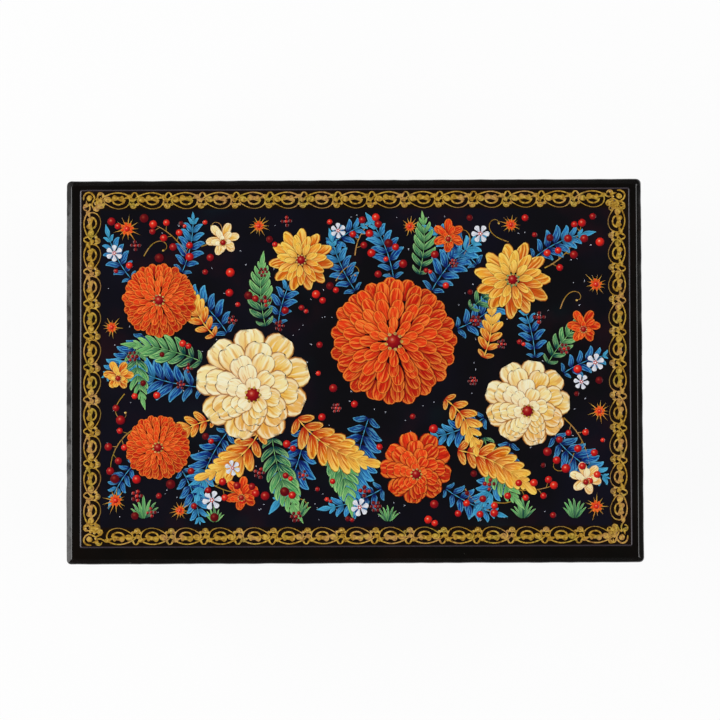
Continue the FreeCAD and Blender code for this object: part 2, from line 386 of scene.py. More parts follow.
lacquer = {
    "black": tint(9, 7, 5),
    "blackWarm": tint(15, 9, 6),
    "red": tint(150, 19, 14),
    "redDeep": tint(128, 14, 10),
    "speck": tint(96, 92, 86),
    "gloss": {
        "Roughness": 0.22,
        "Specular IOR Level": 0.35,
        "Coat Weight": 0.8,
        "Coat Roughness": 0.04,
    },
    "toneScale": 140.0,
    "waveScale": 120.0,
    "waveShare": 0.85,
    "peelScale": 900.0,
    "waveDepth": 0.06,
    "speckScale": 420.0,
    "speckPatches": 220.0,
    "smearScale": 260.0,
    "scuffScale": 520.0,
    "scratchScale": 2400.0,
    # depths under the lid's top between which its bevel begins and ends, in millimetres
    "bevelFrom": (0.02, 0.08),
    "bevelTo": (0.80, 0.72),
    # how far from the lid's left side its left bevel ends, in millimetres
    "leftBevelTo": (1.2, 0.8),
    # where the left bevel is dull, in millimetres from the box's middle, and how much
    "dullCorner": {"from": 23.0, "to": 27.5, "share": 1.0},
    "dullMiddle": {"from": 18.0, "to": 6.0, "share": 0.45},
    # how much of the shine a patch and a scratch take, and how rough they leave it
    "scuffs": (0.5, 0.25),
    "scuffRoughness": 0.55,
    # lowest value and how much a smear adds
    "roughness": (0.17, 0.05),
    "coat": (0.68, 0.10),
}


def lacquerColours(place):
    slow = place.grain(lacquer["toneScale"], 3.0)
    black = slow.rise(0.35, 0.75).blend(lacquer["black"], lacquer["blackWarm"])
    red = slow.rise(0.3, 0.7).blend(lacquer["redDeep"], lacquer["red"])
    dust = place.node(
        "ShaderNodeTexVoronoi", {"feature": "F1"},
        {"Vector": place, "Scale": lacquer["speckScale"]}, "Distance",
    )
    patches = place.grain(lacquer["speckPatches"], 1.0).rise(0.60, 0.66)
    speck = dust.rise(0.055, 0.02) * patches
    return speck.blend(black, lacquer["speck"]), red


def bevelScuffs(place):
    # patches and fine scratches along the lid's left bevel, where the shine is rubbed off
    low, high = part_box("lid_board")
    depth = (high.z - place.axis("Z")) / mm
    onBevel = depth.rise(*lacquer["bevelFrom"]) * depth.rise(*lacquer["bevelTo"])
    patches = place.grain(lacquer["scuffScale"], 4.0).rise(0.42, 0.62)
    scratches = place.grain(lacquer["scratchScale"], 2.0).rise(0.50, 0.62)
    onLeft = ((place.axis("X") - low.x) / mm).rise(*lacquer["leftBevelTo"])
    along = place.axis("Y") / mm
    corner = lacquer["dullCorner"]
    middle = lacquer["dullMiddle"]
    dull = along.rise(corner["from"], corner["to"]) * corner["share"]
    dull = dull + abs(along).rise(middle["from"], middle["to"]) * middle["share"]
    patchShare, scratchShare = lacquer["scuffs"]
    worn = patches * patchShare + scratches * scratchShare + dull
    return onBevel * onLeft * worn.atMost(1.0)


def lacquerSurface(shader, place, scuffs=None):
    waves = place.grain(lacquer["waveScale"], 2.0)
    peel = place.grain(lacquer["peelScale"], 2.0)
    share = lacquer["waveShare"]
    feedBump(shader, waves * share + peel * (1 - share), lacquer["waveDepth"] * mm)
    smear = place.grain(lacquer["smearScale"], 4.0)
    roughness = smear.rise(0.3, 0.8).spread(lacquer["roughness"])
    coat = smear.rise(0.36, 0.64).spread(lacquer["coat"])
    if scuffs:
        worn = scuffs(place)
        roughness = roughness + worn * lacquer["scuffRoughness"]
        coat = coat * (1 - worn)
    feed(shader, "Roughness", roughness)
    feed(shader, "Coat Weight", coat)


def boxLacquer(name, redMask, scuffs=None):
    material, shader, place = newFinish(name, lacquer["gloss"])
    black, red = lacquerColours(place)
    feed(shader, "Base Color", redMask(place).blend(black, red))
    lacquerSurface(shader, place, scuffs)
    return material


def withinWalls(place, inset):
    # the part of the plan inside the walls, or an inset further in
    fade = boxSizes["paintEdge"] * 2
    width = boxSizes["innerHalfWidth"] - inset
    front = boxSizes["innerFront"] + inset
    back = boxSizes["innerBack"] - inset
    across = abs(place.axis("X")) / mm
    depth = place.axis("Y") / mm
    inDepth = depth.rise(front - fade, front) * depth.rise(back + fade, back)
    return across.rise(width + fade, width) * inDepth


def insideBody(place):
    # the inner faces of the walls and the top of the base
    floor = boxSizes["innerFloor"]
    above = (place.axis("Z") / mm).rise(floor - boxSizes["paintEdge"] * 2, floor)
    return withinWalls(place, 0) * above


def underLid(place):
    # the panel framed by the lip strips
    edge = boxSizes["paintEdge"]
    below = (place.axis("Z") / mm).rise(boxSizes["rim"] + edge * 2, boxSizes["rim"] + edge)
    return withinWalls(place, boxSizes["lip"]) * below


def everywhere(place):
    # a mask that is 1 all over, because every piece lies above both heights
    return place.axis("Z").rise(-1.0, -0.5)


brassFinish = {
    "bright": tint(230, 192, 110),
    "dull": tint(194, 150, 78),
    "constants": {"Metallic": 1.0, "Roughness": 0.3},
    "tarnishScale": 260.0,
    "rollScale": 900.0,
    "rollStretch": (0.08, 1.0, 1.0),
    "rollDepth": 0.004,
    "roughness": (0.20, 0.14),
}


def rolledBrass():
    material, shader, place = newFinish("rolledBrass", brassFinish["constants"])
    tarnish = place.grain(brassFinish["tarnishScale"], 4.0).rise(0.40, 0.75)
    feed(shader, "Base Color", tarnish.blend(brassFinish["bright"], brassFinish["dull"]))
    rolled = place.grain(brassFinish["rollScale"], 3.0, stretch=brassFinish["rollStretch"])
    feed(shader, "Roughness", rolled.spread(brassFinish["roughness"]))
    feedBump(shader, rolled, brassFinish["rollDepth"] * mm)
    return material


bodyLacquer = boxLacquer("bodyLacquer", insideBody)
lidLacquer = boxLacquer("lidLacquer", underLid, bevelScuffs)
redLacquer = boxLacquer("redLacquer", everywhere)
brass = rolledBrass()
for nodeName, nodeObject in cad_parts.items():
    if nodeName.startswith("lid_lip"):
        dress(nodeObject, redLacquer)
    elif "leaf" in nodeName or "pin" in nodeName:
        dress(nodeObject, brass)
    else:
        dress(nodeObject, bodyLacquer)
print("lacquer and brass on the box")


# Lid board: lumpy lacquered edges, bevel, and the hinge's seat along the back
lidSizes = {
    "cornerRadius": 0.75,
    "cornerSteps": 4,
    "bevel": 0.9,
    "softening": 0.13,
    "softenOver": 30,
    "edgeRound": 0.20,
    "longCuts": 90,
    "bevelLift": 0.20,
    "waveDepth": 0.12,
    "waveLength": 2.4,
    "waveReach": 0.4,
}
lacquerCrease = 32

hingeSeat = {
    "axisDepth": 29.0,
    "grooveHalfAngle": 49.0,
    "easing": 0.05,
    "barrelGroove": 1.0,
    "halfLength": 22.6,
    "leafFront": 25.8,
    "leafBack": 28.6,
    "leafDepth": 0.55,
    "endStep": 0.04,
}


def roundedBoard(name, low, high, cornerRadius, cornerSteps, bevel, bevelSteps, longCuts):
    # a board with rounded upright corners and a bevel round its top
    board = boardBetween(name, low, high)
    upright = (high.z - low.z) / 2
    bevelEdges(board, lambda a, b: abs(a.z - b.z) > upright, cornerRadius, cornerSteps)
    top = high.z - hair
    bevelEdges(board, lambda a, b: a.z > top and b.z > top, bevel, bevelSteps)
    if bevel > cornerRadius:
        # the bevel is wider than the corner is round, so its inner corners come to a point
        pickPoints(board, [point.index for point in board.data.vertices if point.co.z > top])
        bpy.ops.mesh.remove_doubles(threshold=(bevel - cornerRadius) * 1.5)
        doneEditing()
    shortest = (high.y - low.y) / 2
    editEdges(board, lambda a, b: (a - b).length > shortest)
    bpy.ops.mesh.subdivide(number_cuts=longCuts)
    doneEditing()
    return board


def roughenEdges(board, low, high, sizes):
    # brushed-on lacquer is never quite straight: move the outer rows in and out a little
    lumps = bpy.data.textures.new(board.name + "_lumps", "CLOUDS")
    lumps.noise_scale = sizes["waveLength"] * mm
    middle = (low + high) / 2
    group = board.vertex_groups.new(name="outerRows")
    for point in board.data.vertices:
        away = point.co - middle
        gapX = (high.x - low.x) / 2 - abs(away.x)
        gapY = (high.y - low.y) / 2 - abs(away.y)
        if min(gapX, gapY) < sizes["waveReach"] * mm:
            group.add([point.index], 1.0, "REPLACE")
    applyModifier(board, "DISPLACE", {
        "texture": lumps,
        "texture_coords": "LOCAL",
        "vertex_group": group.name,
        "strength": sizes["waveDepth"] * mm,
        "mid_level": 0.5,
    })
    board.vertex_groups.clear()


def cutAway(board, cutter):
    applyModifier(board, "BOOLEAN", {"object": cutter, "operation": "DIFFERENCE", "solver": "EXACT"})
    if not board.data.polygons:
        raise ValueError(f"nothing is left of {board.name} after a cut")
    bpy.data.objects.remove(cutter)


def cutHingeSeat(board, parting, way):
    # way is 1 for the lid, above the parting, and -1 for the wall below it
    axis = Vector((0, hingeSeat["axisDepth"] * mm, parting))
    slope = math.radians(hingeSeat["grooveHalfAngle"])
    outward = Vector((0, math.sin(slope), -way * math.cos(slope)))
    makeActive(board)
    bpy.ops.object.mode_set(mode="EDIT")
    bpy.ops.mesh.select_all(action="SELECT")
    bpy.ops.mesh.bisect(
        plane_co=axis - outward * hingeSeat["easing"] * mm, plane_no=outward, use_fill=True,
        clear_outer=True,
    )
    doneEditing()
    half = hingeSeat["halfLength"] * mm
    bpy.ops.mesh.primitive_cylinder_add(
        vertices=32, radius=hingeSeat["barrelGroove"] * mm, depth=half * 2, location=axis,
        rotation=(0, math.pi / 2, 0),
    )
    cutAway(board, added("barrelCutter"))
    levels = sorted((parting - way * mm, parting + way * hingeSeat["leafDepth"] * mm))
    # the recess runs a hair past the groove, so that the two cuts don't end in one plane
    half += hingeSeat["endStep"] * mm
    recess = boardBetween(
        "recessCutter",
        Vector((-half, hingeSeat["leafFront"] * mm, levels[0])),
        Vector((half, hingeSeat["leafBack"] * mm, levels[1])),
    )
    cutAway(board, recess)


def makeLid():
    low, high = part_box("lid_board")
    lid = roundedBoard(
        "lid_board_lacquered", low, high, lidSizes["cornerRadius"] * mm,
        lidSizes["cornerSteps"], lidSizes["bevel"] * mm, 1, lidSizes["longCuts"],
    )
    foot = high.z - lidSizes["bevel"] * mm
    lift = lidSizes["bevelLift"] * mm
    atFoot = [point.index for point in lid.data.vertices if abs(point.co.z - foot) < hair]
    movePoints(lid, atFoot, (0, 0, lift))
    foot += lift
    bevelEdges(
        lid, lambda a, b: max(abs(a.z - foot), abs(b.z - foot)) < hair, lidSizes["edgeRound"] * mm, 3,
    )
    applyModifier(lid, "BEVEL", {
        "width": lidSizes["softening"] * mm,
        "segments": 2,
        "limit_method": "ANGLE",
        "angle_limit": math.radians(lidSizes["softenOver"]),
    })
    roughenEdges(lid, low, high, lidSizes)
    cutHingeSeat(lid, low.z, 1)
    smoothFlats(lid, lacquerCrease)
    dress(lid, lidLacquer)
    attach(lid, "lid")
    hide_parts("lid_board")


makeLid()
print("lid board made")


# Body: walls and base, with their outer edges rounded by the lacquer
bodySizes = {
    "cornerRadius": 0.8,
    "cornerSteps": 5,
    "rimRound": 0.28,
    "footRound": 0.5,
    "reach": 0.9,
}
bodyNodes = ["base_board", "front_wall", "back_wall", "left_wall", "right_wall"]
bodyLow = Vector([min(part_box(name)[0][i] for name in bodyNodes) for i in range(3)])
bodyHigh = Vector([max(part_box(name)[1][i] for name in bodyNodes) for i in range(3)])


def onOutside(first, second):
    middle = (first + second) / 2
    reach = bodySizes["reach"] * mm
    gaps = (middle.x - bodyLow.x, bodyHigh.x - middle.x, middle.y - bodyLow.y, bodyHigh.y - middle.y)
    return min(gaps) < reach


def makeBoard(nodeName):
    low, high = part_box(nodeName)
    board = boardBetween(nodeName + "_lacquered", low, high)

    def isCorner(a, b):
        gapX = min(a.x - bodyLow.x, bodyHigh.x - a.x)
        gapY = min(a.y - bodyLow.y, bodyHigh.y - a.y)
        return abs(a.z - b.z) > mm and gapX < hair and gapY < hair

    isBase = nodeName == "base_board"
    level = low.z if isBase else high.z

    def isRim(a, b):
        return max(abs(a.z - level), abs(b.z - level)) < hair and onOutside(a, b)

    if "left" not in nodeName and "right" not in nodeName:
        bevelEdges(board, isCorner, bodySizes["cornerRadius"] * mm, bodySizes["cornerSteps"])
    bevelEdges(board, isRim, bodySizes["footRound" if isBase else "rimRound"] * mm, 3)
    if nodeName == "back_wall":
        cutHingeSeat(board, high.z, -1)
    smoothFlats(board, lacquerCrease)
    dress(board, bodyLacquer)
    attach(board, "box")
    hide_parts(nodeName)


for nodeName in bodyNodes:
    makeBoard(nodeName)
print("body boards made")


# Picture sheet: a thin sheet under the lacquer, with the painting's dark ground
sheetSizes = {
    "cornerRadius": 0.4,
    "edgeWidth": 0.26,
    "longCuts": 110,
    "waveDepth": 0.05,
    "waveLength": 1.7,
    "waveReach": 0.3,
    "crease": 60,
}
sheetLow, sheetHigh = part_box("picture_sheet")
sheetMiddle = (sheetLow + sheetHigh) / 2
paintLevel = sheetHigh.z

ground = {
    "navy": tint(15, 14, 26),
    "night": tint(12, 11, 15),
    "brown": tint(34, 14, 20),
    "teal": tint(10, 34, 40),
    "band": tint(22, 12, 6),
    # the paler grey on the bevel round the sheet's rim is a painted highlight of that rim
    "edge": tint(64, 56, 63),
    "navyScale": 48.0,
    "brownScale": 95.0,
    "tealScale": 70.0,
    # where a colour begins and is full, in millimetres from the sheet's rim
    "rimHighlightFade": (0.30, 0.18),
    "bandFade": (3.35, 3.05),
}


def gapToRim(place):
    # how far a point lies from the sheet's rim, in millimetres
    gapX = (sheetHigh.x - sheetLow.x) / 2 - abs(place.axis("X") - sheetMiddle.x)
    gapY = (sheetHigh.y - sheetLow.y) / 2 - abs(place.axis("Y") - sheetMiddle.y)
    return gapX.atMost(gapY) / mm


def groundPaint():
    material, shader, place = newFinish("groundPaint", lacquer["gloss"])
    navyPatches = place.grain(ground["navyScale"], 3.0).rise(0.35, 0.62)
    brownPatches = place.grain(ground["brownScale"], 4.0).rise(0.52, 0.78)
    tealPatches = place.grain(ground["tealScale"], 2.0).rise(0.58, 0.8)
    colour = navyPatches.blend(ground["night"], ground["navy"])
    colour = (brownPatches * 0.8).blend(colour, ground["brown"])
    colour = (tealPatches * 0.6).blend(colour, ground["teal"])
    gap = gapToRim(place)
    colour = gap.rise(*ground["bandFade"]).blend(colour, ground["band"])
    # a painted highlight: the bevel round the sheet's rim is painted paler grey
    colour = gap.rise(*ground["rimHighlightFade"]).blend(colour, ground["edge"])
    feed(shader, "Base Color", colour)
    lacquerSurface(shader, place)
    return material


def makeSheet():
    sheet = roundedBoard(
        "picture_sheet_painted", sheetLow, sheetHigh, sheetSizes["cornerRadius"] * mm, 4,
        sheetSizes["edgeWidth"] * mm, 3, sheetSizes["longCuts"],
    )
    roughenEdges(sheet, sheetLow, sheetHigh, sheetSizes)
    smoothFlats(sheet, sheetSizes["crease"])
    dress(sheet, groundPaint())
    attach(sheet, "lid")
    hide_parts("picture_sheet")


makeSheet()
print("picture sheet made")


# Brush marks. A mark is a thin closed shape one unit long, from its root at the origin to its
# tip along X. Its map runs along the mark and across it, and each copy takes a tile of the map:
# the tile's column is the mark's tone, from dark to light, and its row only varies the strokes.
bakeMap = "OFBake"
markSizes = {
    "crown": 0.009, "depth": 0.11, "beadHeight": 0.04, "crease": 40, "beadCrease": 60, "seed": 11,
    "jitter": 0.002, "shortest": 0.25, "beadSegments": 14, "beadRings": 6,
}
lineSizes = {
    "flatness": 0.16, "joinWithin": 0.002, "ringHalfWidth": 0.12, "ringSegments": 14, "ringFaces": 4,
}
mapTiles = {"count": 4, "margin": 0.03, "hidden": (0.5, 0.5)}
markShapes = {
    # place along the mark and half-width there
    "petal": [
        (0, 0.10), (0.10, 0.25), (0.26, 0.39), (0.46, 0.48), (0.66, 0.5), (0.82, 0.43), (0.93, 0.29),
        (1, 0.12),
    ],
    "heart": [
        (0, 0.08), (0.12, 0.24), (0.30, 0.40), (0.50, 0.49), (0.70, 0.5), (0.86, 0.42), (0.97, 0.27),
        (1, 0.17),
    ],
    "leaf": [
        (0, 0.05), (0.10, 0.24), (0.24, 0.42), (0.40, 0.5), (0.58, 0.43), (0.75, 0.27), (0.89, 0.12),
        (1, 0.01),
    ],
    "drop": [
        (0, 0.02), (0.22, 0.12), (0.45, 0.27), (0.64, 0.42), (0.78, 0.5), (0.89, 0.43), (0.97, 0.25),
        (1, 0.08),
    ],
}
markNotch = {"heart": 0.10}
markBends = {"straight": 0, "left": 46, "right": -46}
chance = random.Random(markSizes["seed"])


def mapFaces(thing, spotOf):
    # lay the map by place; faces that look down share one spot, out of the way
    layer = thing.data.uv_layers[0]
    layer.name = bakeMap
    corners = thing.data.loops
    points = thing.data.vertices
    for face in thing.data.polygons:
        for corner in face.loop_indices:
            spot = spotOf(points[corners[corner].vertex_index].co)
            layer.uv[corner].vector = spot if face.normal.z > -0.3 else mapTiles["hidden"]


def makeMark(shapeName):
    outline = markShapes[shapeName]
    steps = len(outline) - 1
    bpy.ops.mesh.primitive_grid_add(x_subdivisions=steps, y_subdivisions=2, size=1, location=(0.5, 0, 0))
    mark = added(shapeName)
    settle(mark)
    bpy.ops.object.mode_set(mode="EDIT")
    bpy.ops.mesh.select_all(action="SELECT")
    bpy.ops.mesh.extrude_region_move(TRANSFORM_OT_translate={"value": (0, 0, -markSizes["depth"])})
    bpy.ops.mesh.select_all(action="SELECT")
    bpy.ops.mesh.normals_make_consistent(inside=False)
    doneEditing()
    mapFaces(mark, lambda place: (place.x, place.y + 0.5))
    columns = [[] for _ in outline]
    ridge = []
    for point in mark.data.vertices:
        columns[round(point.co.x * steps)].append(point.index)
        if abs(point.co.y) < 0.1 and point.co.z > -markSizes["depth"] / 2:
            ridge.append(point.index)
    for i, (place, halfWidth) in enumerate(outline):
        pickPoints(mark, columns[i])
        bpy.ops.transform.resize(value=(1, 2 * halfWidth, 1), center_override=(0, 0, 0))
        bpy.ops.transform.translate(value=(place - i / steps, 0, 0))
        doneEditing()
    if shapeName in markNotch:
        middle = [i for i in columns[-1] if abs(mark.data.vertices[i].co.y) < 0.01]
        movePoints(mark, middle, (-markNotch[shapeName], 0, 0))
    movePoints(mark, ridge, (0, 0, markSizes["crown"]))
    return mark


def bendMark(mark, bendName):
    bent = mark.copy()
    bent.data = mark.data.copy()
    bpy.context.collection.objects.link(bent)
    if markBends[bendName]:
        applyModifier(bent, "SIMPLE_DEFORM", {
            "deform_method": "BEND",
            "deform_axis": "Z",
            "angle": math.radians(markBends[bendName]),
        })
    smoothShade(bent, markSizes["crease"])
    return bent


def makeBead():
    # a round dab of paint, one unit across
    bpy.ops.mesh.primitive_uv_sphere_add(
        segments=markSizes["beadSegments"], ring_count=markSizes["beadRings"], radius=0.5,
    )
    bead = added("bead")
    mapFaces(bead, lambda place: (place.x + 0.5, place.y + 0.5))
    bead.scale.z = markSizes["beadHeight"] * 2
    settle(bead)
    smoothShade(bead, markSizes["beadCrease"])
    return bead


marks = {"bead_straight": makeBead()}
for shapeName in markShapes:
    straight = makeMark(shapeName)
    for bendName in markBends:
        marks[f"{shapeName}_{bendName}"] = bendMark(straight, bendName)
    bpy.data.objects.remove(straight)

markMaps = {}  # each mark's map, as it lies before it takes a tile
for markName, mark in marks.items():
    layer = mark.data.uv_layers[bakeMap].uv
    markMaps[markName] = numpy.empty(len(layer) * 2, numpy.float32)
    layer.foreach_get("vector", markMaps[markName])
piles = {}


def layOn(thing, x, y, turn, size, lift):
    # move a mesh drawn at the origin onto the sheet: millimetres from its centre, turn in degrees
    spot = Vector((sheetMiddle.x + x * mm, sheetMiddle.y + y * mm, paintLevel + lift * mm))
    turned = Matrix.Rotation(math.radians(turn), 4, "Z")
    thing.data.transform(Matrix.Translation(spot) @ turned @ Matrix.Diagonal((*size, 1)))


def dab(pile, mark, x, y, turn, length, width, lift, tone=1, bend="straight"):
    # lay a copy of a mark on the sheet, a little higher or lower than its neighbours
    markName = f"{mark}_{bend}"
    copy = marks[markName].copy()
    copy.data = marks[markName].data.copy()
    lift += chance.random() * markSizes["jitter"]
    layOn(copy, x, y, turn, (length * mm, width * mm, mm), lift)
    # a copied mesh shares its map until it is made anew
    copy.data.uv_layers.remove(copy.data.uv_layers[bakeMap])
    layer = copy.data.uv_layers.new(name=bakeMap, do_init=False)
    margin = mapTiles["margin"]
    spots = markMaps[markName].reshape(-1, 2) * (1 - 2 * margin) + margin
    tile = numpy.array([tone, chance.randrange(mapTiles["count"])])
    layer.uv.foreach_set("vector", ((spots + tile) / mapTiles["count"]).ravel().astype(numpy.float32))
    bpy.context.collection.objects.link(copy)
    piles.setdefault(pile, []).append(copy)


def layLine(pile, line, x, y, lift):
    # lines and rings are drawn in millimetres and pressed flat
    layOn(line, x, y, 0, (mm, mm, mm * lineSizes["flatness"]), lift)
    line.data.uv_layers[0].name = bakeMap
    smoothShade(line, markSizes["crease"])
    piles.setdefault(pile, []).append(line)


def drawLine(pile, points, halfWidths, lift, steps=5):
    # a line of paint through points in millimetres; its half-widths swell and thin it
    bpy.ops.curve.primitive_bezier_curve_add(location=(0, 0, 0))
    line = added("line")
    spline = line.data.splines[0]
    spline.bezier_points.add(len(points) - 2)
    for knot, (x, y), halfWidth in zip(spline.bezier_points, points, halfWidths):
        knot.co = (x, y, 0)
        knot.handle_left_type = knot.handle_right_type = "AUTO"
        knot.radius = halfWidth
    line.data.bevel_depth = 1.0
    line.data.bevel_resolution = 0
    line.data.resolution_u = steps
    line.data.use_fill_caps = True
    makeActive(line)
    bpy.ops.object.convert(target="MESH")
    line = bpy.context.object
    bpy.ops.object.mode_set(mode="EDIT")
    bpy.ops.mesh.select_all(action="SELECT")
    bpy.ops.mesh.remove_doubles(threshold=lineSizes["joinWithin"])
    doneEditing()
    layLine(pile, line, 0, 0, lift)


def drawRing(pile, centre, radius, lift):
    bpy.ops.mesh.primitive_torus_add(
        major_segments=lineSizes["ringSegments"], minor_segments=lineSizes["ringFaces"],
        major_radius=radius, minor_radius=lineSizes["ringHalfWidth"],
    )
    layLine(pile, added("ring"), *centre, lift)


def joinPile(pile):
    things = piles.pop(pile)
    deselectAll()
    for thing in things:
        thing.select_set(True)
    bpy.context.view_layer.objects.active = things[0]
    bpy.ops.object.join()
    return bpy.context.object


def mapFlat(thing, low, size, corner=(0, 0)):
    # lay a joined piece's map straight down, from low over size metres, at a corner of the map
    mapFaces(thing, lambda place: (
        corner[0] + (place.x - low.x) / size,
        corner[1] + (place.y - low.y) / size,
    ))


def gather(pile, name, material, flat=False):
    # join a pile of marks into one piece that rides on the lid
    piece = joinPile(pile)
    piece.name = name
    piece.data.name = name
    if flat:
        mapFlat(piece, sheetLow, sheetHigh.x - sheetLow.x)
    dress(piece, material)
    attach(piece, "lid")
    print("painted", name, len(piece.data.polygons), "faces")


# Gold scroll border. The repeat is drawn as it runs along the front: X onwards, Y inwards.
scroll = {
    "count": {"across": 15, "down": 10},
    "pitch": {"across": 5.30, "down": 4.99},
    "inset": {"front": 1.80, "back": 1.76, "left": 1.92, "right": 2.08},
    "shift": {"across": 0.12, "down": 0.25},
    "depthShare": {"across": 0.91, "down": 0.94},
    "drawnPitch": 5.0,
    "mapReach": 4.0,
    "lift": 0.012,
    "outerLine": [
        (-1.98, -0.45), (-1.54, -0.80), (-0.80, -1.18), (0.02, -1.34), (0.83, -1.24), (1.57, -0.96),
        (2.19, -0.60), (2.62, -0.15), (2.75, 0.35),
    ],
    "outerLineWidths": [0.08, 0.12, 0.12, 0.10, 0.10, 0.12, 0.12, 0.11, 0.08],
    "innerLine": [
        (-1.30, -0.72), (-1.66, -0.25), (-1.64, 0.38), (-1.26, 1.0), (-0.65, 1.34), (0.08, 1.42),
        (0.83, 1.20), (1.48, 0.82), (1.98, 0.40), (2.12, -0.10), (1.86, -0.52), (1.42, -0.55),
        (1.14, -0.22), (1.28, 0.18), (1.62, 0.16), (1.66, -0.12),
    ],
    "innerLineWidths": [
        0.08, 0.10, 0.10, 0.08, 0.07, 0.07, 0.07, 0.08, 0.10, 0.12, 0.12, 0.11, 0.10, 0.10, 0.09, 0.07,
    ],
    "crescent": [(0.84, -0.02), (0.68, 0.38), (0.22, 0.66), (-0.34, 0.64), (-0.78, 0.34), (-0.98, -0.12)],
    "crescentWidths": [0.11, 0.14, 0.13, 0.13, 0.15, 0.12],
    "bud": [(2.16, -0.52), (2.18, -0.94), (2.57, -1.36), (2.98, -0.92), (3.08, -0.48)],
    "budWidths": [0.10, 0.15, 0.09, 0.15, 0.10],
    "rings": [((2.77, 0.94), 0.36)],
    # kind, x, y, turn, length, width
    "masses": [
        ("drop", -0.55, -0.18, -13, 1.52, 1.04), ("drop", 0.34, -0.12, 190, 1.26, 1.10),
        ("drop", -0.58, -0.20, 204, 1.52, 0.70), ("leaf", 0.62, -0.10, 2, 0.90, 0.50),
        ("bead", -0.04, -0.36, 0, 0.90, 0.62), ("bead", 1.54, -0.14, 0, 1.00, 0.98),
        ("drop", 2.16, -0.18, 8, 1.06, 0.80), ("bead", 2.77, 0.94, 0, 0.46, 0.46),
        ("bead", 2.15, 0.66, 0, 0.54, 0.52), ("bead", 3.26, 0.62, 0, 0.46, 0.50),
    ],
}
massLift = {"bead": -0.006, "drop": 0.012, "leaf": 0.012}


def drawPattern(pile, pattern, lines):
    # the masses lie lowest, and the lines run over them
    for kind, x, y, turn, length, width in pattern["masses"]:
        dab(pile, kind, x, y, turn, length, width, massLift[kind])
    for name in lines:
        drawLine(pile, pattern[name], pattern[name + "Widths"], scroll["lift"], steps=4)
    for centre, radius in pattern["rings"]:
        drawRing(pile, centre, radius, scroll["lift"])
    return joinPile(pile)


# The corner's own knot: X down the first side, Y down the second, from its outermost point
knot = {
    "outset": 1.42,
    "hook": [
        (1.31, 0.10), (0.70, 0.17), (0.25, 0.52), (0.14, 0.98), (0.33, 1.42), (0.75, 1.74), (1.10, 1.80),
        (1.49, 1.63), (2.03, 1.41), (2.45, 1.58), (2.95, 1.75),
    ],
    "hookWidths": [0.08, 0.13, 0.13, 0.13, 0.13, 0.13, 0.12, 0.13, 0.13, 0.12, 0.08],
    "curl": [(0.95, 1.44), (0.66, 1.14), (0.80, 0.78), (1.20, 0.72), (1.38, 1.02), (1.14, 1.20)],
    "curlWidths": [0.08, 0.10, 0.11, 0.11, 0.11, 0.09],
    "link": [(1.30, 1.98), (1.05, 2.24), (1.45, 2.34), (2.0, 2.34), (2.3, 2.6)],
    "linkWidths": [0.08, 0.11, 0.13, 0.13, 0.09],
    "side": [(2.1, 0.95), (2.6, 1.10), (3.1, 0.92), (3.6, 0.55)],
    "sideWidths": [0.08, 0.12, 0.12, 0.08],
    "budOne": [(0.80, 2.36), (0.46, 2.34), (0.12, 2.72), (0.46, 3.06), (0.82, 3.06)],
    "budOneWidths": [0.08, 0.11, 0.08, 0.11, 0.08],
    "budTwo": [(2.08, 0.62), (2.06, 0.34), (2.46, 0.08), (2.88, 0.32), (2.95, 0.60)],
    "budTwoWidths": [0.08, 0.11, 0.08, 0.11, 0.08],
    "rings": [((2.68, 2.13), 0.34), ((2.28, 2.93), 0.30)],
    "masses": [
        ("bead", 1.02, 1.04, 0, 0.84, 0.84), ("drop", 1.35, 0.52, 6, 1.10, 0.58),
        ("drop", 1.2, 2.3, 34, 1.15, 0.58), ("drop", 1.1, 2.12, 4, 0.85, 0.40),
        ("drop", 0.84, 2.72, 12, 0.95, 0.50), ("bead", 2.05, 1.08, 0, 0.50, 0.46),
        ("bead", 1.80, 1.98, 0, 0.46, 0.44), ("bead", 2.68, 2.13, 0, 0.42, 0.42),
        ("bead", 2.46, 0.34, 0, 0.40, 0.34), ("bead", 0.44, 2.70, 0, 0.34, 0.40),
    ],
}


def placeCopy(source, x, y, turn, along=1.0, across=1.0):
    # source is drawn round the sheet's centre: scale it, turn it and move it there
    copy = source.copy()
    copy.data = source.data.copy()
    centre = Matrix.Translation(Vector((sheetMiddle.x, sheetMiddle.y, 0)))
    move = Matrix.Translation(Vector((x * mm, y * mm, 0)))
    turned = Matrix.Rotation(math.radians(turn), 4, "Z")
    size = Matrix.Diagonal((along, across, 1, 1))
    copy.data.transform(centre @ move @ turned @ size @ centre.inverted())
    bpy.context.collection.objects.link(copy)
    piles.setdefault("border", []).append(copy)


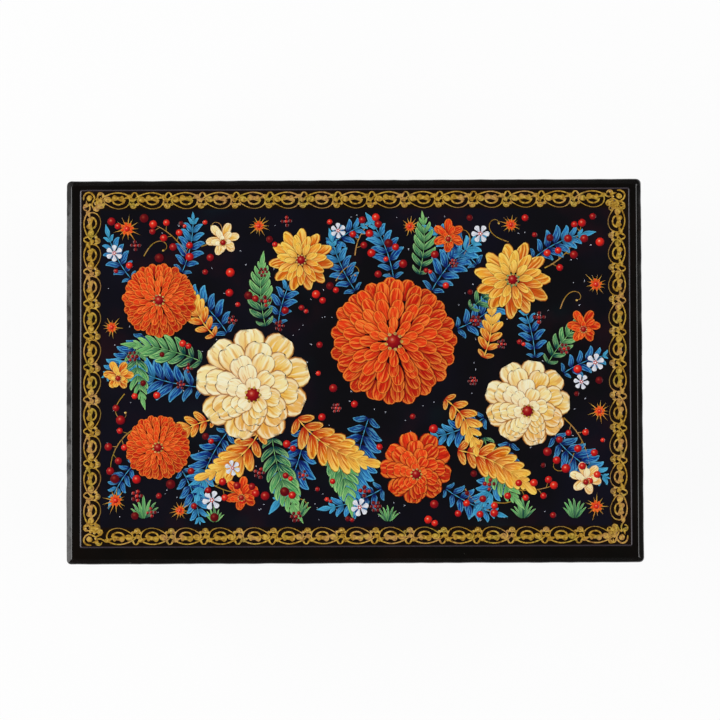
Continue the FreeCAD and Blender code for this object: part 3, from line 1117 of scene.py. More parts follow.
def drawBorder():
    unit = drawPattern("unit", scroll, ("outerLine", "innerLine", "crescent", "bud"))
    reach = scroll["mapReach"] * mm
    mapFlat(unit, sheetMiddle - Vector((reach, reach, 0)), reach * 2, (0.0, 0.0))
    cornerPiece = drawPattern("corner", knot, ("hook", "curl", "link", "side", "budOne", "budTwo"))
    mapFlat(cornerPiece, sheetMiddle, reach * 2, (0.0, 0.5))
    halfX = (sheetHigh.x - sheetLow.x) / 2 / mm
    halfY = (sheetHigh.y - sheetLow.y) / 2 / mm
    sides = [
        ("across", 0, lambda run: (run, -halfY + scroll["inset"]["front"])),
        ("across", 180, lambda run: (-run, halfY - scroll["inset"]["back"])),
        ("down", 90, lambda run: (halfX - scroll["inset"]["right"], run)),
        ("down", -90, lambda run: (-halfX + scroll["inset"]["left"], -run)),
    ]
    for kind, turn, placeAt in sides:
        count = scroll["count"][kind]
        pitch = scroll["pitch"][kind]
        for i in range(count):
            run = (i - (count - 1) / 2) * pitch
            shift = scroll["shift"][kind] * (1 if turn in (0, 90) else -1)
            x, y = placeAt(run + shift)
            placeCopy(unit, x, y, turn, pitch / scroll["drawnPitch"], scroll["depthShare"][kind])
    for turn, signX, signY, nearX, nearY in (
        (0, -1, -1, "left", "front"), (90, 1, -1, "right", "front"),
        (180, 1, 1, "right", "back"), (-90, -1, 1, "left", "back"),
    ):
        x = signX * (halfX - scroll["inset"][nearX] + knot["outset"])
        y = signY * (halfY - scroll["inset"][nearY] + knot["outset"])
        placeCopy(cornerPiece, x, y, turn)
    bpy.data.objects.remove(unit)
    bpy.data.objects.remove(cornerPiece)


varnish = {
    "Roughness": 0.24,
    "Specular IOR Level": 0.35,
    "Coat Weight": 0.8,
    "Coat Roughness": 0.04,
}
goldTones = {
    "shade": tint(78, 46, 14),
    "body": tint(174, 130, 40),
    "light": tint(224, 186, 80),
    "warm": tint(192, 140, 92),
    "olive": tint(146, 138, 44),
    "inner": tint(112, 86, 48),
    "metallic": 0.12,
    "roughness": (0.24, 0.20),
    "fineScale": 2600.0,
    "warmScale": 330.0,
    "oliveScale": 430.0,
    # the inner line's near and far side, in millimetres from the sheet's rim
    "innerFrom": (2.75, 3.15),
    "innerTo": (3.9, 3.5),
}


def goldPaint():
    material, shader, place = newFinish("goldPaint", {**varnish, "Metallic": goldTones["metallic"]})
    height = (place.axis("Z") - paintLevel) / mm
    fine = place.grain(goldTones["fineScale"], 2.0)
    warm = place.grain(goldTones["warmScale"], 1.0).rise(0.50, 0.64)
    olive = place.grain(goldTones["oliveScale"], 1.0).rise(0.54, 0.70)
    body = height.rise(-0.004, 0.016).blend(goldTones["shade"], goldTones["body"])
    body = (warm * 0.6).blend(body, goldTones["warm"])
    body = (olive * 0.5).blend(body, goldTones["olive"])
    body = (height.rise(0.012, 0.026) * fine.rise(0.44, 0.60) * 0.8).blend(body, goldTones["light"])
    body = (fine.rise(0.42, 0.30) * 0.6).blend(body, goldTones["shade"])
    # the line next to the picture is laid on thinner
    gap = gapToRim(place)
    inner = gap.rise(*goldTones["innerFrom"]) * gap.rise(*goldTones["innerTo"])
    body = (inner * 0.6).blend(body, goldTones["inner"])
    feed(shader, "Base Color", body)
    feed(shader, "Roughness", fine.spread(goldTones["roughness"]))
    return material


gold = goldPaint()
drawBorder()
gather("border", "gold_scroll_border", gold)


# Paints for petals and leaves: colours from root to tip, then the strokes laid over them
paints = {
    "flame": {
        "stops": [(0, tint(104, 10, 6)), (0.25, tint(194, 24, 12)), (0.55, tint(228, 42, 16)),
                  (0.8, tint(241, 66, 22)), (1, tint(250, 122, 40))],
        "deep": tint(152, 15, 11), "glow": tint(247, 76, 26),
        "light": tint(255, 162, 66), "dark": tint(150, 16, 8),
        "rim": tint(250, 146, 52), "outline": tint(66, 8, 6),
    },
    "cream": {
        "stops": [(0, tint(206, 92, 18)), (0.2, tint(238, 160, 46)), (0.45, tint(250, 210, 98)),
                  (0.75, tint(252, 234, 158)), (1, tint(254, 245, 206))],
        "deep": tint(232, 150, 44), "glow": tint(254, 248, 214),
        "light": tint(255, 251, 226), "dark": tint(226, 146, 50),
        "rim": tint(255, 248, 208), "outline": tint(142, 70, 20),
    },
    "amber": {
        "stops": [(0, tint(134, 22, 10)), (0.2, tint(198, 50, 14)), (0.45, tint(234, 106, 20)),
                  (0.75, tint(249, 168, 38)), (1, tint(254, 216, 88))],
        "deep": tint(180, 40, 12), "glow": tint(253, 212, 84),
        "light": tint(255, 232, 130), "dark": tint(168, 40, 12),
        "rim": tint(255, 226, 112), "outline": tint(74, 18, 8),
    },
    "azure": {
        "stops": [(0, tint(8, 14, 54)), (0.3, tint(12, 40, 124)), (0.6, tint(20, 86, 180)),
                  (0.85, tint(52, 150, 208)), (1, tint(130, 208, 230))],
        "deep": tint(8, 22, 88), "glow": tint(70, 182, 216),
        "light": tint(110, 200, 230), "dark": tint(6, 14, 60),
        "rim": tint(104, 196, 230), "outline": tint(4, 8, 30),
    },
    "leafGreen": {
        "stops": [(0, tint(4, 34, 34)), (0.3, tint(8, 82, 70)), (0.6, tint(32, 136, 82)),
                  (0.85, tint(106, 182, 98)), (1, tint(192, 224, 138))],
        "deep": tint(4, 54, 66), "glow": tint(124, 202, 112),
        "light": tint(190, 228, 150), "dark": tint(3, 40, 36),
        "rim": tint(176, 224, 148), "outline": tint(2, 20, 22),
    },
    "white": {
        "stops": [(0, tint(150, 160, 192)), (0.3, tint(208, 214, 228)), (1, tint(246, 247, 250))],
        "deep": tint(96, 100, 116), "glow": tint(250, 250, 252),
        "light": tint(250, 250, 252), "dark": tint(140, 148, 178),
        "rim": tint(250, 250, 252), "outline": tint(60, 64, 84),
    },
    "spark": {
        "stops": [(0, tint(250, 150, 40)), (0.4, tint(226, 150, 48)), (0.75, tint(140, 124, 44)),
                  (1, tint(48, 54, 26))],
        "deep": tint(206, 90, 20), "glow": tint(244, 190, 80),
        "light": tint(250, 206, 104), "dark": tint(150, 84, 26),
        "rim": tint(196, 140, 56), "outline": tint(66, 48, 20),
    },
}
strokes = {
    "count": 4.5, "run": 1.6, "lightShare": 0.6, "darkShare": 0.6, "rimShare": 0.6,
    "outlineShare": 0.85, "shadeShare": 0.35, "toneShare": 0.6, "tipShare": 3.0,
    "rowStep": 5.3, "toneStep": 6.1, "roughness": (0.17, 0.14),
}


def readTile(place):
    # how far along and across its mark a point lies, and the tone and row of the mark's tile
    spot = place.node("ShaderNodeUVMap", {"uv_map": bakeMap})
    column = spot.axis("X") * mapTiles["count"]
    row = spot.axis("Y") * mapTiles["count"]
    margin = mapTiles["margin"]
    along = (column.fraction() - margin) / (1 - 2 * margin)
    across = (row.fraction() - margin) / (1 - 2 * margin)
    return along, across, column.floor() / (mapTiles["count"] - 1), row.floor()


def brushPaint(name):
    paint = paints[name]
    material, shader, place = newFinish(name + "Paint", varnish)
    along, across, tone, row = readTile(place)
    side = across * 2 - 1
    near = (1 - abs(side)).atMost((1 - along) * strokes["tipShare"])
    fan = side / (along * 0.7 + 0.5) * strokes["count"]
    strokePlace = fan.node("ShaderNodeCombineXYZ", None, {
        "X": fan, "Y": along * strokes["run"], "Z": row * strokes["rowStep"] + tone * strokes["toneStep"],
    })
    stroke = strokePlace.grain(1.0, 3.0)
    colour = along.ramp(paint["stops"])
    colour = (tone.rise(0.6, 0.0) * strokes["toneShare"]).blend(colour, paint["deep"])
    colour = (tone.rise(0.4, 1.0) * strokes["toneShare"]).blend(colour, paint["glow"])
    colour = (side.rise(0.1, 0.9) * strokes["shadeShare"]).blend(colour, paint["dark"])
    colour = (stroke.rise(0.50, 0.64) * strokes["lightShare"] * along.rise(0.05, 0.5)).blend(
        colour, paint["light"])
    colour = (stroke.rise(0.46, 0.34) * strokes["darkShare"]).blend(colour, paint["dark"])
    rim = near.rise(0.10, 0.2) * near.rise(0.42, 0.28) * along.rise(0.15, 0.6)
    colour = (rim * strokes["rimShare"]).blend(colour, paint["rim"])
    colour = (near.rise(0.12, 0.04) * strokes["outlineShare"]).blend(colour, paint["outline"])
    feed(shader, "Base Color", colour)
    feed(shader, "Roughness", stroke.spread(strokes["roughness"]))
    return material


# a berry's tone runs from dim crimson to bright red
berryTones = {
    "body": [(0, tint(96, 8, 16)), (0.35, tint(150, 12, 20)), (0.7, tint(196, 20, 20)),
             (1, tint(218, 34, 22))],
    "shade": tint(84, 4, 20), "light": tint(236, 84, 56), "spark": tint(255, 196, 162),
    # where on the berry the shade is least and the light falls
    "shadeSpot": (0.36, 0.66), "lightSpot": (0.40, 0.62),
}


def berryPaint():
    material, shader, place = newFinish("berryPaint", varnish)
    along, across, tone, _ = readTile(place)

    def away(spot):
        offset = along.node("ShaderNodeCombineXYZ", None, {"X": along - spot[0], "Y": across - spot[1]})
        return offset.node("ShaderNodeVectorMath", {"operation": "LENGTH"}, {0: offset}, "Value")

    shade = away(berryTones["shadeSpot"]).rise(0.36, 0.72)
    light = away(berryTones["lightSpot"])
    colour = tone.ramp(berryTones["body"])
    colour = (shade * 0.9).blend(colour, berryTones["shade"])
    colour = (light.rise(0.30, 0.08) * (tone * 0.7 + 0.15)).blend(colour, berryTones["light"])
    colour = (light.rise(0.12, 0.04) * (tone * 0.75 + 0.05)).blend(colour, berryTones["spark"])
    feed(shader, "Base Color", colour)
    return material


# Floral picture: blossoms, fronds, sprays of berries and small flowers, all laid by brush mark
lifts = {
    "dust": 0.004, "stem": 0.006, "azure": 0.006, "green": 0.032, "amber": 0.058,
    "blossom": 0.084, "ringStep": 0.010, "berry": 0.086, "small": 0.084, "lobeStep": 0.006,
    "gleam": 0.010, "rib": 0.013,
}
taken = []  # circles that the scattered berries keep clear of


def onwards(x, y, heading, reach):
    # the point that lies a reach away at a heading in degrees
    ray = math.radians(heading)
    return x + math.cos(ray) * reach, y + math.sin(ray) * reach


def arcPoints(x, y, heading, length, curl, count):
    # points along an arc, with the heading at each
    points = []
    for i in range(count + 1):
        points.append((x, y, heading))
        x, y = onwards(x, y, heading + curl / count / 2, length / count)
        heading += curl / count
    return points


def insideField(x, y, field="fieldEdge"):
    return abs(x) <= picture[field][0] and abs(y) <= picture[field][1]


frondSizes = {
    # where on a half circle the lobes' sizes begin, how far they run, and how full they are
    "lobeFrom": 0.12, "lobeRun": 0.80, "fullness": 0.8,
    "unevenness": (0.88, 1.1), "gleamFrom": 0.2, "gleamWidth": 0.12,
    "tipShare": 0.8, "tipOverlap": 0.3, "tipNarrowing": 0.9, "ribOverlap": 1.25, "keepClear": 0.22,
}
frondKinds = {
    "azure": {
        "pile": "azure", "mark": "leaf", "lift": "azure", "spread": (66, 30), "inward": False,
        "lobeShare": 0.34, "widthShare": 0.40, "tones": (0, 1, 1, 2, 3), "rib": 0.07, "gleam": 0.5,
    },
    "green": {
        "pile": "green", "mark": "leaf", "lift": "green", "spread": (58, 26), "inward": True,
        "lobeShare": 0.34, "widthShare": 0.34, "tones": (0, 1, 2, 2, 3), "rib": 0.07, "gleam": 0.55,
    },
    "amber": {
        "pile": "amber", "mark": "petal", "lift": "amber", "spread": (62, 30), "inward": True,
        "lobeShare": 0.31, "widthShare": 0.52, "tones": (0, 1, 2, 3), "rib": 0.12, "gleam": 0.6,
    },
}


def paintMark(pile, mark, x, y, turn, length, width, lift, tone=1, bend="straight"):
    # a mark of the picture, made smaller where it would reach the border
    tipX, tipY = onwards(x, y, turn, length)
    halfX, halfY = picture["fieldEdge"]
    share = 1 - max(abs(tipX) - halfX, abs(tipY) - halfY, 0) / length
    if share > markSizes["shortest"]:
        dab(pile, mark, x, y, turn, length * share, width * share, lift, tone, bend)


def dotRing(pile, x, y, radius, count, dot, lift, tone):
    for i in range(count):
        paintMark(pile, "bead", *onwards(x, y, 360 / count * i, radius), 0, dot, dot, lift, tone)


def frond(kindName, x, y, heading, length, curl, pairs):
    kind = frondKinds[kindName]
    lift = lifts[kind["lift"]]
    spine = arcPoints(x, y, heading, length, curl, pairs + 1)
    for i, (spotX, spotY, way) in enumerate(spine[:-1]):
        share = (i + 0.5) / (pairs + 1)
        swell = math.sin(math.pi * (frondSizes["lobeFrom"] + frondSizes["lobeRun"] * share))
        size = length * kind["lobeShare"] * swell ** frondSizes["fullness"]
        spread = kind["spread"][0] + (kind["spread"][1] - kind["spread"][0]) * share
        tone = kind["tones"][min(int(share * len(kind["tones"])), len(kind["tones"]) - 1)]
        for sign in (1, -1):
            bend = "right" if (sign > 0) == kind["inward"] else "left"
            reach = size * chance.uniform(*frondSizes["unevenness"])
            angle = way + sign * spread
            paintMark(kind["pile"], kind["mark"], spotX, spotY, angle, reach,
                      reach * kind["widthShare"], lift + share * lifts["lobeStep"], tone, bend)
            # a fine light stroke along the lobe
            start = onwards(spotX, spotY, angle, reach * frondSizes["gleamFrom"])
            paintMark(kind["pile"], "leaf", *start, angle, reach * kind["gleam"],
                      frondSizes["gleamWidth"], lift + lifts["gleam"], 3, bend)
    tip = length * kind["lobeShare"] * frondSizes["tipShare"]
    start = onwards(*spine[-1], -tip * frondSizes["tipOverlap"])
    paintMark(kind["pile"], kind["mark"], *start, spine[-1][2], tip,
              tip * kind["widthShare"] * frondSizes["tipNarrowing"], lift + lifts["lobeStep"],
              kind["tones"][-1])
    # the rib is a chain of fine light strokes
    for spotX, spotY, way in spine[:-1]:
        paintMark(kind["pile"], "leaf", spotX, spotY, way + curl / (pairs + 1) / 2,
                  length / (pairs + 1) * frondSizes["ribOverlap"], kind["rib"] * 2,
                  lift + lifts["rib"], 3)
    if kindName == "amber":
        clear = length * frondSizes["keepClear"]
        taken.extend((spotX, spotY, clear) for spotX, spotY, way in spine)


blossomSizes = {
    "keepClear": 0.8, "turnJitter": 2.5, "lengthJitter": (0.93, 1.06),
    # the light comes from this heading, and petals facing it or away from it change tone
    "lightFrom": 125, "lit": 0.6, "unlit": -0.7,
    "coreShare": 0.10, "core": 0.25, "coreLift": 0.008, "dots": 9, "dotShare": 0.42, "dotLift": 0.012,
}
blossomKinds = {
    # rings from the outside in: root share, length share, width share, petals, tone
    "dahlia": {
        "mark": "petal", "bend": "straight", "sink": 0.0,
        "rings": [
            (0.66, 0.34, 0.26, 19, 0), (0.58, 0.38, 0.25, 19, 1), (0.46, 0.37, 0.235, 17, 1),
            (0.35, 0.34, 0.22, 15, 2), (0.25, 0.30, 0.19, 12, 2), (0.15, 0.25, 0.16, 10, 3),
            (0.07, 0.19, 0.13, 7, 3),
        ],
    },
    "peony": {
        "mark": "heart", "bend": "straight", "sink": 0.05,
        "rings": [
            (0.40, 0.60, 0.56, 9, 1), (0.30, 0.54, 0.50, 8, 1), (0.19, 0.47, 0.43, 7, 2),
            (0.10, 0.38, 0.35, 6, 2), (0.03, 0.29, 0.28, 5, 3),
        ],
    },
    "daisy": {
        "mark": "petal", "bend": "left", "sink": 0.0,
        "rings": [(0.22, 0.78, 0.40, 11, 1), (0.20, 0.58, 0.30, 11, 2), (0.16, 0.36, 0.22, 9, 3)],
    },
    "bud": {
        "mark": "petal", "bend": "straight", "sink": 0.12,
        "rings": [(0.14, 0.86, 0.52, 6, 1), (0.08, 0.66, 0.42, 5, 2), (0.03, 0.42, 0.32, 4, 3)],
    },
}


def blossom(kindName, pile, x, y, radius, turn):
    kind = blossomKinds[kindName]
    lift = lifts["blossom"]
    taken.append((x, y, radius + blossomSizes["keepClear"]))
    for ring, (root, length, width, count, tone) in enumerate(kind["rings"]):
        # inner rings sink a little towards the foot of the blossom
        centreY = y - radius * kind["sink"] * ring
        for i in range(count):
            jitter = blossomSizes["turnJitter"]
            angle = turn + 360 / count * (i + 0.5 * (ring % 2)) + chance.uniform(-jitter, jitter)
            facing = math.cos(math.radians(angle - blossomSizes["lightFrom"]))
            shade = tone + (facing > blossomSizes["lit"]) - (facing < blossomSizes["unlit"])
            shade = min(max(shade, 0), mapTiles["count"] - 1)
            reach = radius * length * chance.uniform(*blossomSizes["lengthJitter"])
            paintMark(pile, kind["mark"], *onwards(x, centreY, angle, radius * root), angle, reach,
                      radius * width, lift + ring * lifts["ringStep"], shade, kind["bend"])
    top = lift + len(kind["rings"]) * lifts["ringStep"] + blossomSizes["coreLift"]
    centreY = y - radius * kind["sink"] * (len(kind["rings"]) - 1)
    core = radius * blossomSizes["coreShare"] + blossomSizes["core"]
    paintMark("heart", "bead", x, centreY, 0, core * 2, core * 2, top, 1)
    dotRing("gold", x, centreY, core, blossomSizes["dots"], core * blossomSizes["dotShare"],
            top + blossomSizes["dotLift"], 3)


def berry(x, y, size, tone=None):
    tone = chance.choice((1, 2, 2, 3)) if tone is None else tone
    dab("berries", "bead", x, y, 0, size, size, lifts["berry"], tone)


rosetteSizes = {
    "counts": (4, 5, 6), "jitter": 0.15, "berryShares": (0.75, 1.0), "heartShare": 0.9,
    "size": (0.5, 0.75), "keepClear": 2.4,
}


def rosette(x, y):
    # a ring of small dim berries
    size = chance.uniform(*rosetteSizes["size"])
    count = chance.choice(rosetteSizes["counts"])
    jitter = rosetteSizes["jitter"]
    for i in range(count):
        spot = onwards(x, y, 360 / count * (i + chance.uniform(-jitter, jitter)), size)
        berry(*spot, size * chance.uniform(*rosetteSizes["berryShares"]), chance.choice((0, 0, 1)))
    berry(x, y, size * rosetteSizes["heartShare"], chance.choice((1, 2)))
    taken.append((x, y, rosetteSizes["keepClear"]))


spraySizes = {
    "berry": 1.25, "unevenness": (0.75, 1.0), "stem": 0.10, "stemThins": 0.05, "twig": [0.06, 0.04],
    "twigShare": 1.05, "twigSpread": 58, "keepClear": 1.5,
}


def berrySpray(x, y, heading, length, curl, count):
    spine = [spot for spot in arcPoints(x, y, heading, length, curl, count) if insideField(*spot[:2])]
    widths = [spraySizes["stem"] - spraySizes["stemThins"] * i / len(spine) for i in range(len(spine))]
    drawLine("stems", [spot[:2] for spot in spine], widths, lifts["stem"], steps=3)
    size = spraySizes["berry"]
    for i, (px, py, way) in enumerate(spine[1:-1]):
        turn = way + spraySizes["twigSpread"] * (1 if i % 2 else -1)
        end = onwards(px, py, turn, size * spraySizes["twigShare"])
        if not insideField(*end, "halfField"):
            continue
        drawLine("stems", [(px, py), end], spraySizes["twig"], lifts["stem"], steps=2)
        berry(*end, size * chance.uniform(*spraySizes["unevenness"]))
        taken.append((*end, spraySizes["keepClear"]))
    berry(*spine[-1][:2], size)


sparkSizes = {
    "rays": 13, "rayJitter": 6, "rayShares": (0.7, 1.25), "rayWidth": 0.16,
    "flames": 8, "flameTurn": 12, "flameShares": (0.5, 0.26), "flameLift": 0.012,
    "coreShare": 0.42, "coreLift": 0.02, "keepClear": 0.6,
}


def sparkBurst(x, y, radius):
    # fading rays, a ring of small flames and a red core
    for i in range(sparkSizes["rays"]):
        jitter = sparkSizes["rayJitter"]
        angle = 360 / sparkSizes["rays"] * i + chance.uniform(-jitter, jitter)
        reach = radius * chance.uniform(*sparkSizes["rayShares"])
        paintMark("sparks", "leaf", x, y, angle, reach, sparkSizes["rayWidth"], lifts["small"],
                  chance.choice((1, 2)))
    long, wide = (radius * share for share in sparkSizes["flameShares"])
    for i in range(sparkSizes["flames"]):
        angle = 360 / sparkSizes["flames"] * i + sparkSizes["flameTurn"]
        paintMark("flame", "petal", x, y, angle, long, wide,
                  lifts["small"] + sparkSizes["flameLift"], chance.choice((2, 3)))
    core = radius * sparkSizes["coreShare"]
    dab("berries", "bead", x, y, 0, core, core, lifts["small"] + sparkSizes["coreLift"], 3)
    taken.append((x, y, radius + sparkSizes["keepClear"]))


flowerSizes = {
    "petals": 6, "petalWidthShare": 0.62, "eyeShare": 0.55, "eyeLift": 0.014,
    "dots": 5, "dotRingShare": 0.16, "dotShare": 0.2, "dotLift": 0.03, "keepClear": 0.6,
}


def whiteFlower(x, y, radius, turn):
    for i in range(flowerSizes["petals"]):
        angle = turn + 360 / flowerSizes["petals"] * i
        paintMark("whites", "drop", x, y, angle, radius, radius * flowerSizes["petalWidthShare"],
                  lifts["small"], 2)
    eye = radius * flowerSizes["eyeShare"]
    paintMark("whites", "bead", x, y, 0, eye, eye, lifts["small"] + flowerSizes["eyeLift"], 3)
    dotRing("heart", x, y, radius * flowerSizes["dotRingShare"], flowerSizes["dots"],
            radius * flowerSizes["dotShare"], lifts["small"] + flowerSizes["dotLift"], 2)
    taken.append((x, y, radius + flowerSizes["keepClear"]))


tendrilSizes = {
    "steps": 9, "tightening": 2.2, "firstStep": 1.3, "stepShrinks": 0.6, "root": 0.09, "thins": 0.05,
    "bead": 0.34,
}


def tendril(x, y, heading, length, curl):
    # a gold curl that tightens towards its end
    steps = tendrilSizes["steps"]
    points = []
    for i in range(steps + 1):
        points.append((x, y))
        share = (i + 0.5) / steps
        stride = length / steps * (tendrilSizes["firstStep"] - tendrilSizes["stepShrinks"] * share)
        x, y = onwards(x, y, heading + curl * share ** tendrilSizes["tightening"], stride)
    if not all(insideField(*point) for point in points):
        return
    widths = [tendrilSizes["root"] - tendrilSizes["thins"] * i / steps for i in range(steps + 1)]
    drawLine("goldLines", points, widths, lifts["stem"])
    bead = tendrilSizes["bead"]
    paintMark("goldLines", "bead", *points[-1], 0, bead, bead, lifts["stem"], 2)


tuftSizes = {
    "middle": 1.1, "shrinks": 0.35, "unevenness": (0.9, 1.1), "foot": 0.25, "widthShare": 0.16,
}


def tuft(x, y, heading, fan, count, length):
    # blades that fan out from one foot, the middle one the longest
    for i in range(count):
        share = i / (count - 1) * 2 - 1
        bend = "right" if share > 0 else "left"
        reach = length * (tuftSizes["middle"] - tuftSizes["shrinks"] * abs(share))
        reach *= chance.uniform(*tuftSizes["unevenness"])
        paintMark("green", "leaf", x + share * tuftSizes["foot"], y, heading - share * fan, reach,
                  reach * tuftSizes["widthShare"], lifts["green"], chance.choice((1, 2, 2, 3)), bend)


picture = {
    # kind, pile, x, y, radius, turn
    "blossoms": [
        ("dahlia", "flame", 6.0, 4.0, 9.9, 0), ("peony", "cream", -16.0, -2.5, 8.8, 14),
        ("peony", "cream", 26.8, -5.6, 6.8, 40), ("dahlia", "flame", -30.6, 10.6, 5.8, 5),
        ("daisy", "amber", 24.6, 13.6, 5.8, 0), ("daisy", "amber", -8.4, 16.8, 5.0, 20),
        ("dahlia", "flame", -30.8, -12.4, 5.1, 9), ("peony", "flame", 9.4, -15.6, 5.5, 25),
        ("bud", "flame", 35.6, 6.4, 2.7, 0), ("bud", "cream", -20.6, 20.2, 2.6, 10),
        ("bud", "flame", 14.6, 20.6, 2.6, 30), ("bud", "amber", -37.0, -1.0, 2.4, 0),
        ("bud", "cream", 35.8, -17.4, 2.6, 45), ("bud", "flame", -17.8, -19.6, 2.7, 20),
    ],
    # x, y, heading, length, curl, pairs
    "amber": [
        (-9.0, -8.0, -52, 13.0, 40, 7), (-15.0, -10.0, -118, 11.0, -46, 6), (-22.0, -8.0, -170, 8.0, 30, 5),
        (14.0, -5.0, -36, 9.0, -44, 5), (16.0, -13.0, -10, 12.0, -34, 7),
        (20.0, 1.5, 66, 8.0, 30, 5), (-22.0, 5.0, 136, 8.0, -36, 5),
    ],
    "azure": [
        (12.0, 12.0, 62, 11.0, -30, 7), (6.0, 14.0, 98, 9.5, 26, 6), (0.0, 12.0, 124, 9.0, -20, 6),
        (16.0, 6.0, 20, 10.0, 34, 6), (-24.0, -3.0, 176, 12.0, -24, 7),
        (-20.0, 5.5, 122, 10.0, 28, 6), (-12.0, 7.0, 84, 8.0, -26, 5), (-8.0, -10.0, -96, 12.0, -30, 7),
        (-20.0, -10.0, -128, 11.0, 26, 7), (2.0, -8.0, -110, 13.0, 20, 8), (31.0, -11.0, -52, 11.0, 30, 7),
        (24.0, -12.0, -104, 11.0, -24, 7), (32.5, -1.0, 34, 8.0, -26, 5), (28.0, 1.5, 92, 8.0, 22, 5),
        (20.0, -8.0, -150, 9.0, -20, 6), (28.0, 17.0, 40, 9.0, -30, 6), (19.0, 16.0, 130, 9.0, 24, 6),
        (-35.0, 14.0, 130, 8.0, -26, 5), (-27.0, 15.0, 66, 9.0, 26, 6), (-33.0, 5.0, -120, 9.0, -30, 6),
        (-34.4, -14.8, -134, 7.0, 24, 5), (-27.0, -16.0, -60, 9.0, -24, 6),
        (14.0, -19.0, -36, 9.0, 20, 6), (4.0, -19.0, -150, 9.0, -22, 6), (-4.0, 19.0, 40, 7.0, -20, 5),
    ],
    "green": [
        (-13.0, -11.0, -84, 12.0, 24, 8), (-5.0, -10.0, -60, 12.0, -20, 8), (20.0, -11.0, -76, 11.0, 26, 7),
        (30.0, 0.5, 60, 9.0, -20, 6), (-24.0, 1.0, 156, 11.0, 20, 7), (10.0, 14.5, 74, 9.0, 24, 6),
        (-34.0, 4.0, -96, 9.0, 22, 6), (18.0, 9.0, 44, 9.0, -22, 6), (-14.0, 6.5, 104, 10.0, -22, 7),
    ],
    # x, y, heading, length, curl, berries
    "sprays": [
        (-26.0, 17.0, 112, 8.0, 46, 7), (29.6, 15.4, 24, 9.5, 52, 7), (32.4, -8.0, -40, 11.0, -56, 7),
        (-34.4, -9.4, -150, 8.0, 60, 6), (0.0, 17.5, 86, 7.0, -50, 6), (-24.0, -17.0, -40, 9.0, 46, 7),
        (17.0, -19.0, -60, 6.0, 40, 5), (22.0, -18.5, -20, 9.0, 40, 7),
    ],
    # x, y, radius
    "sparks": [
        (-35.6, 21.8, 2.1), (24.4, 22.2, 1.7), (-37.4, -20.6, 1.9), (38.0, -7.0, 1.7), (8.6, 22.0, 1.5),
        (-15.0, 22.2, 1.6), (37.4, -21.8, 1.9), (-38.0, 6.4, 1.6), (37.6, 12.8, 1.9), (-27.4, -22.2, 1.5),
    ],
    # x, y, radius, turn
    "whites": [
        (-22.4, -20.6, 1.5, 10), (-19.2, -15.6, 1.2, 40), (37.4, 0.6, 1.4, 20), (35.2, -2.4, 1.2, 50),
        (-37.6, 18.0, 1.3, 30), (19.6, 20.8, 1.4, 0), (0.6, -21.8, 1.4, 15), (-2.6, 21.4, 1.2, 33),
    ],
    # x, y, heading, length, curl
    "tendrils": [
        (-24.0, 19.0, 20, 7.0, 250), (32.0, 9.0, 70, 6.0, -260), (-36.0, -4.0, 230, 6.0, 260),
        (24.0, 19.5, 160, 6.5, -250), (12.0, -21.5, -160, 6.0, 240), (-12.0, -21.0, 20, 7.0, -250),
        (34.0, -13.5, 250, 6.0, -250), (-33.0, 17.5, 60, 6.0, -240), (17.0, 17.5, 60, 6.0, 250),
        (-3.0, 13.5, 60, 6.0, -240), (21.0, -21.0, -10, 6.5, 250),
    ],
    # x, y, heading, fan, blades, length
    "tufts": [
        (-9.0, -23.4, 90, 42, 7, 3.4), (26.0, -23.6, 90, 46, 7, 3.2), (-33.0, -23.4, 90, 46, 7, 3.6),
        (5.0, -24.0, 90, 46, 7, 2.8), (34.0, -23.6, 90, 40, 7, 3.4), (-22.0, -24.0, 90, 44, 7, 2.4),
    ],
    "halfField": (38.6, 23.8), "fieldEdge": (39.5, 24.5), "dust": 250, "looseBerries": 84,
    "rosettes": 24,
}
looseSizes = {
    "berry": (0.7, 1.5), "keepClear": 1.9, "twins": 0.3, "twinShare": 0.8, "twinDrop": (0.2, 0.8),
    "dustLength": (0.14, 0.42), "dustWidth": (0.10, 0.18),
}


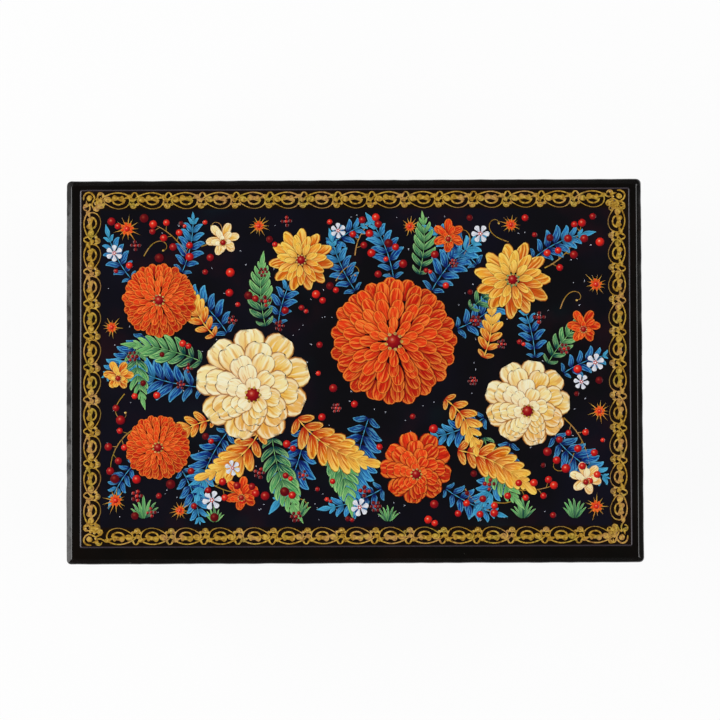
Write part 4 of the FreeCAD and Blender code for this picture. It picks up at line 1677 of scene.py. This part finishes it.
def looseBerry(x, y):
    # some of them have a smaller one beside them
    size = chance.uniform(*looseSizes["berry"])
    berry(x, y, size, chance.choice((0, 1, 1, 2, 3)))
    if chance.random() < looseSizes["twins"]:
        twin = size * looseSizes["twinShare"]
        berry(x + twin, y - size * chance.uniform(*looseSizes["twinDrop"]), twin)
    taken.append((x, y, looseSizes["keepClear"]))


def scatter():
    # rosettes, berries and dust wherever there is room
    halfX, halfY = picture["halfField"]
    placed = 0
    while placed < picture["looseBerries"] + picture["rosettes"]:
        x = chance.uniform(-halfX, halfX)
        y = chance.uniform(-halfY, halfY)
        if any(math.hypot(x - a, y - b) < r for a, b, r in taken):
            continue
        if placed < picture["rosettes"]:
            rosette(x, y)
        else:
            looseBerry(x, y)
        placed += 1
    for _ in range(picture["dust"]):
        x = chance.uniform(-halfX, halfX)
        y = chance.uniform(-halfY, halfY)
        reach = chance.uniform(*looseSizes["dustLength"])
        paintMark("whites", "drop", x, y, chance.uniform(0, 360), reach,
                  chance.uniform(*looseSizes["dustWidth"]), lifts["dust"], chance.choice((0, 0, 1)))


def paintPicture():
    # each pile is joined before the next one is begun, which keeps Blender quick
    for row in picture["sprays"]:
        berrySpray(*row)
    for row in picture["tendrils"]:
        tendril(*row)
    gather("stems", "berry_stems", gold, flat=True)
    for row in picture["azure"]:
        frond("azure", *row)
    gather("azure", "azure_fronds", brushPaint("azure"))
    for row in picture["green"]:
        frond("green", *row)
    for row in picture["tufts"]:
        tuft(*row)
    gather("green", "green_fronds", brushPaint("leafGreen"))
    for row in picture["amber"]:
        frond("amber", *row)
    for row in picture["blossoms"]:
        blossom(*row)
    for row in picture["sparks"]:
        sparkBurst(*row)
    for row in picture["whites"]:
        whiteFlower(*row)
    scatter()
    gather("amber", "amber_fronds_and_flowers", brushPaint("amber"))
    gather("flame", "flame_blossoms", brushPaint("flame"))
    gather("cream", "cream_blossoms", brushPaint("cream"))
    gather("whites", "white_flowers_and_dust", brushPaint("white"))
    gather("sparks", "spark_bursts", brushPaint("spark"))
    berries = berryPaint()
    gather("berries", "berries", berries)
    gather("heart", "blossom_hearts", berries)
    gather("gold", "gold_dots", gold, flat=True)
    gather("goldLines", "gold_tendrils", gold, flat=True)


paintPicture()

for mark in marks.values():
    bpy.data.objects.remove(mark)
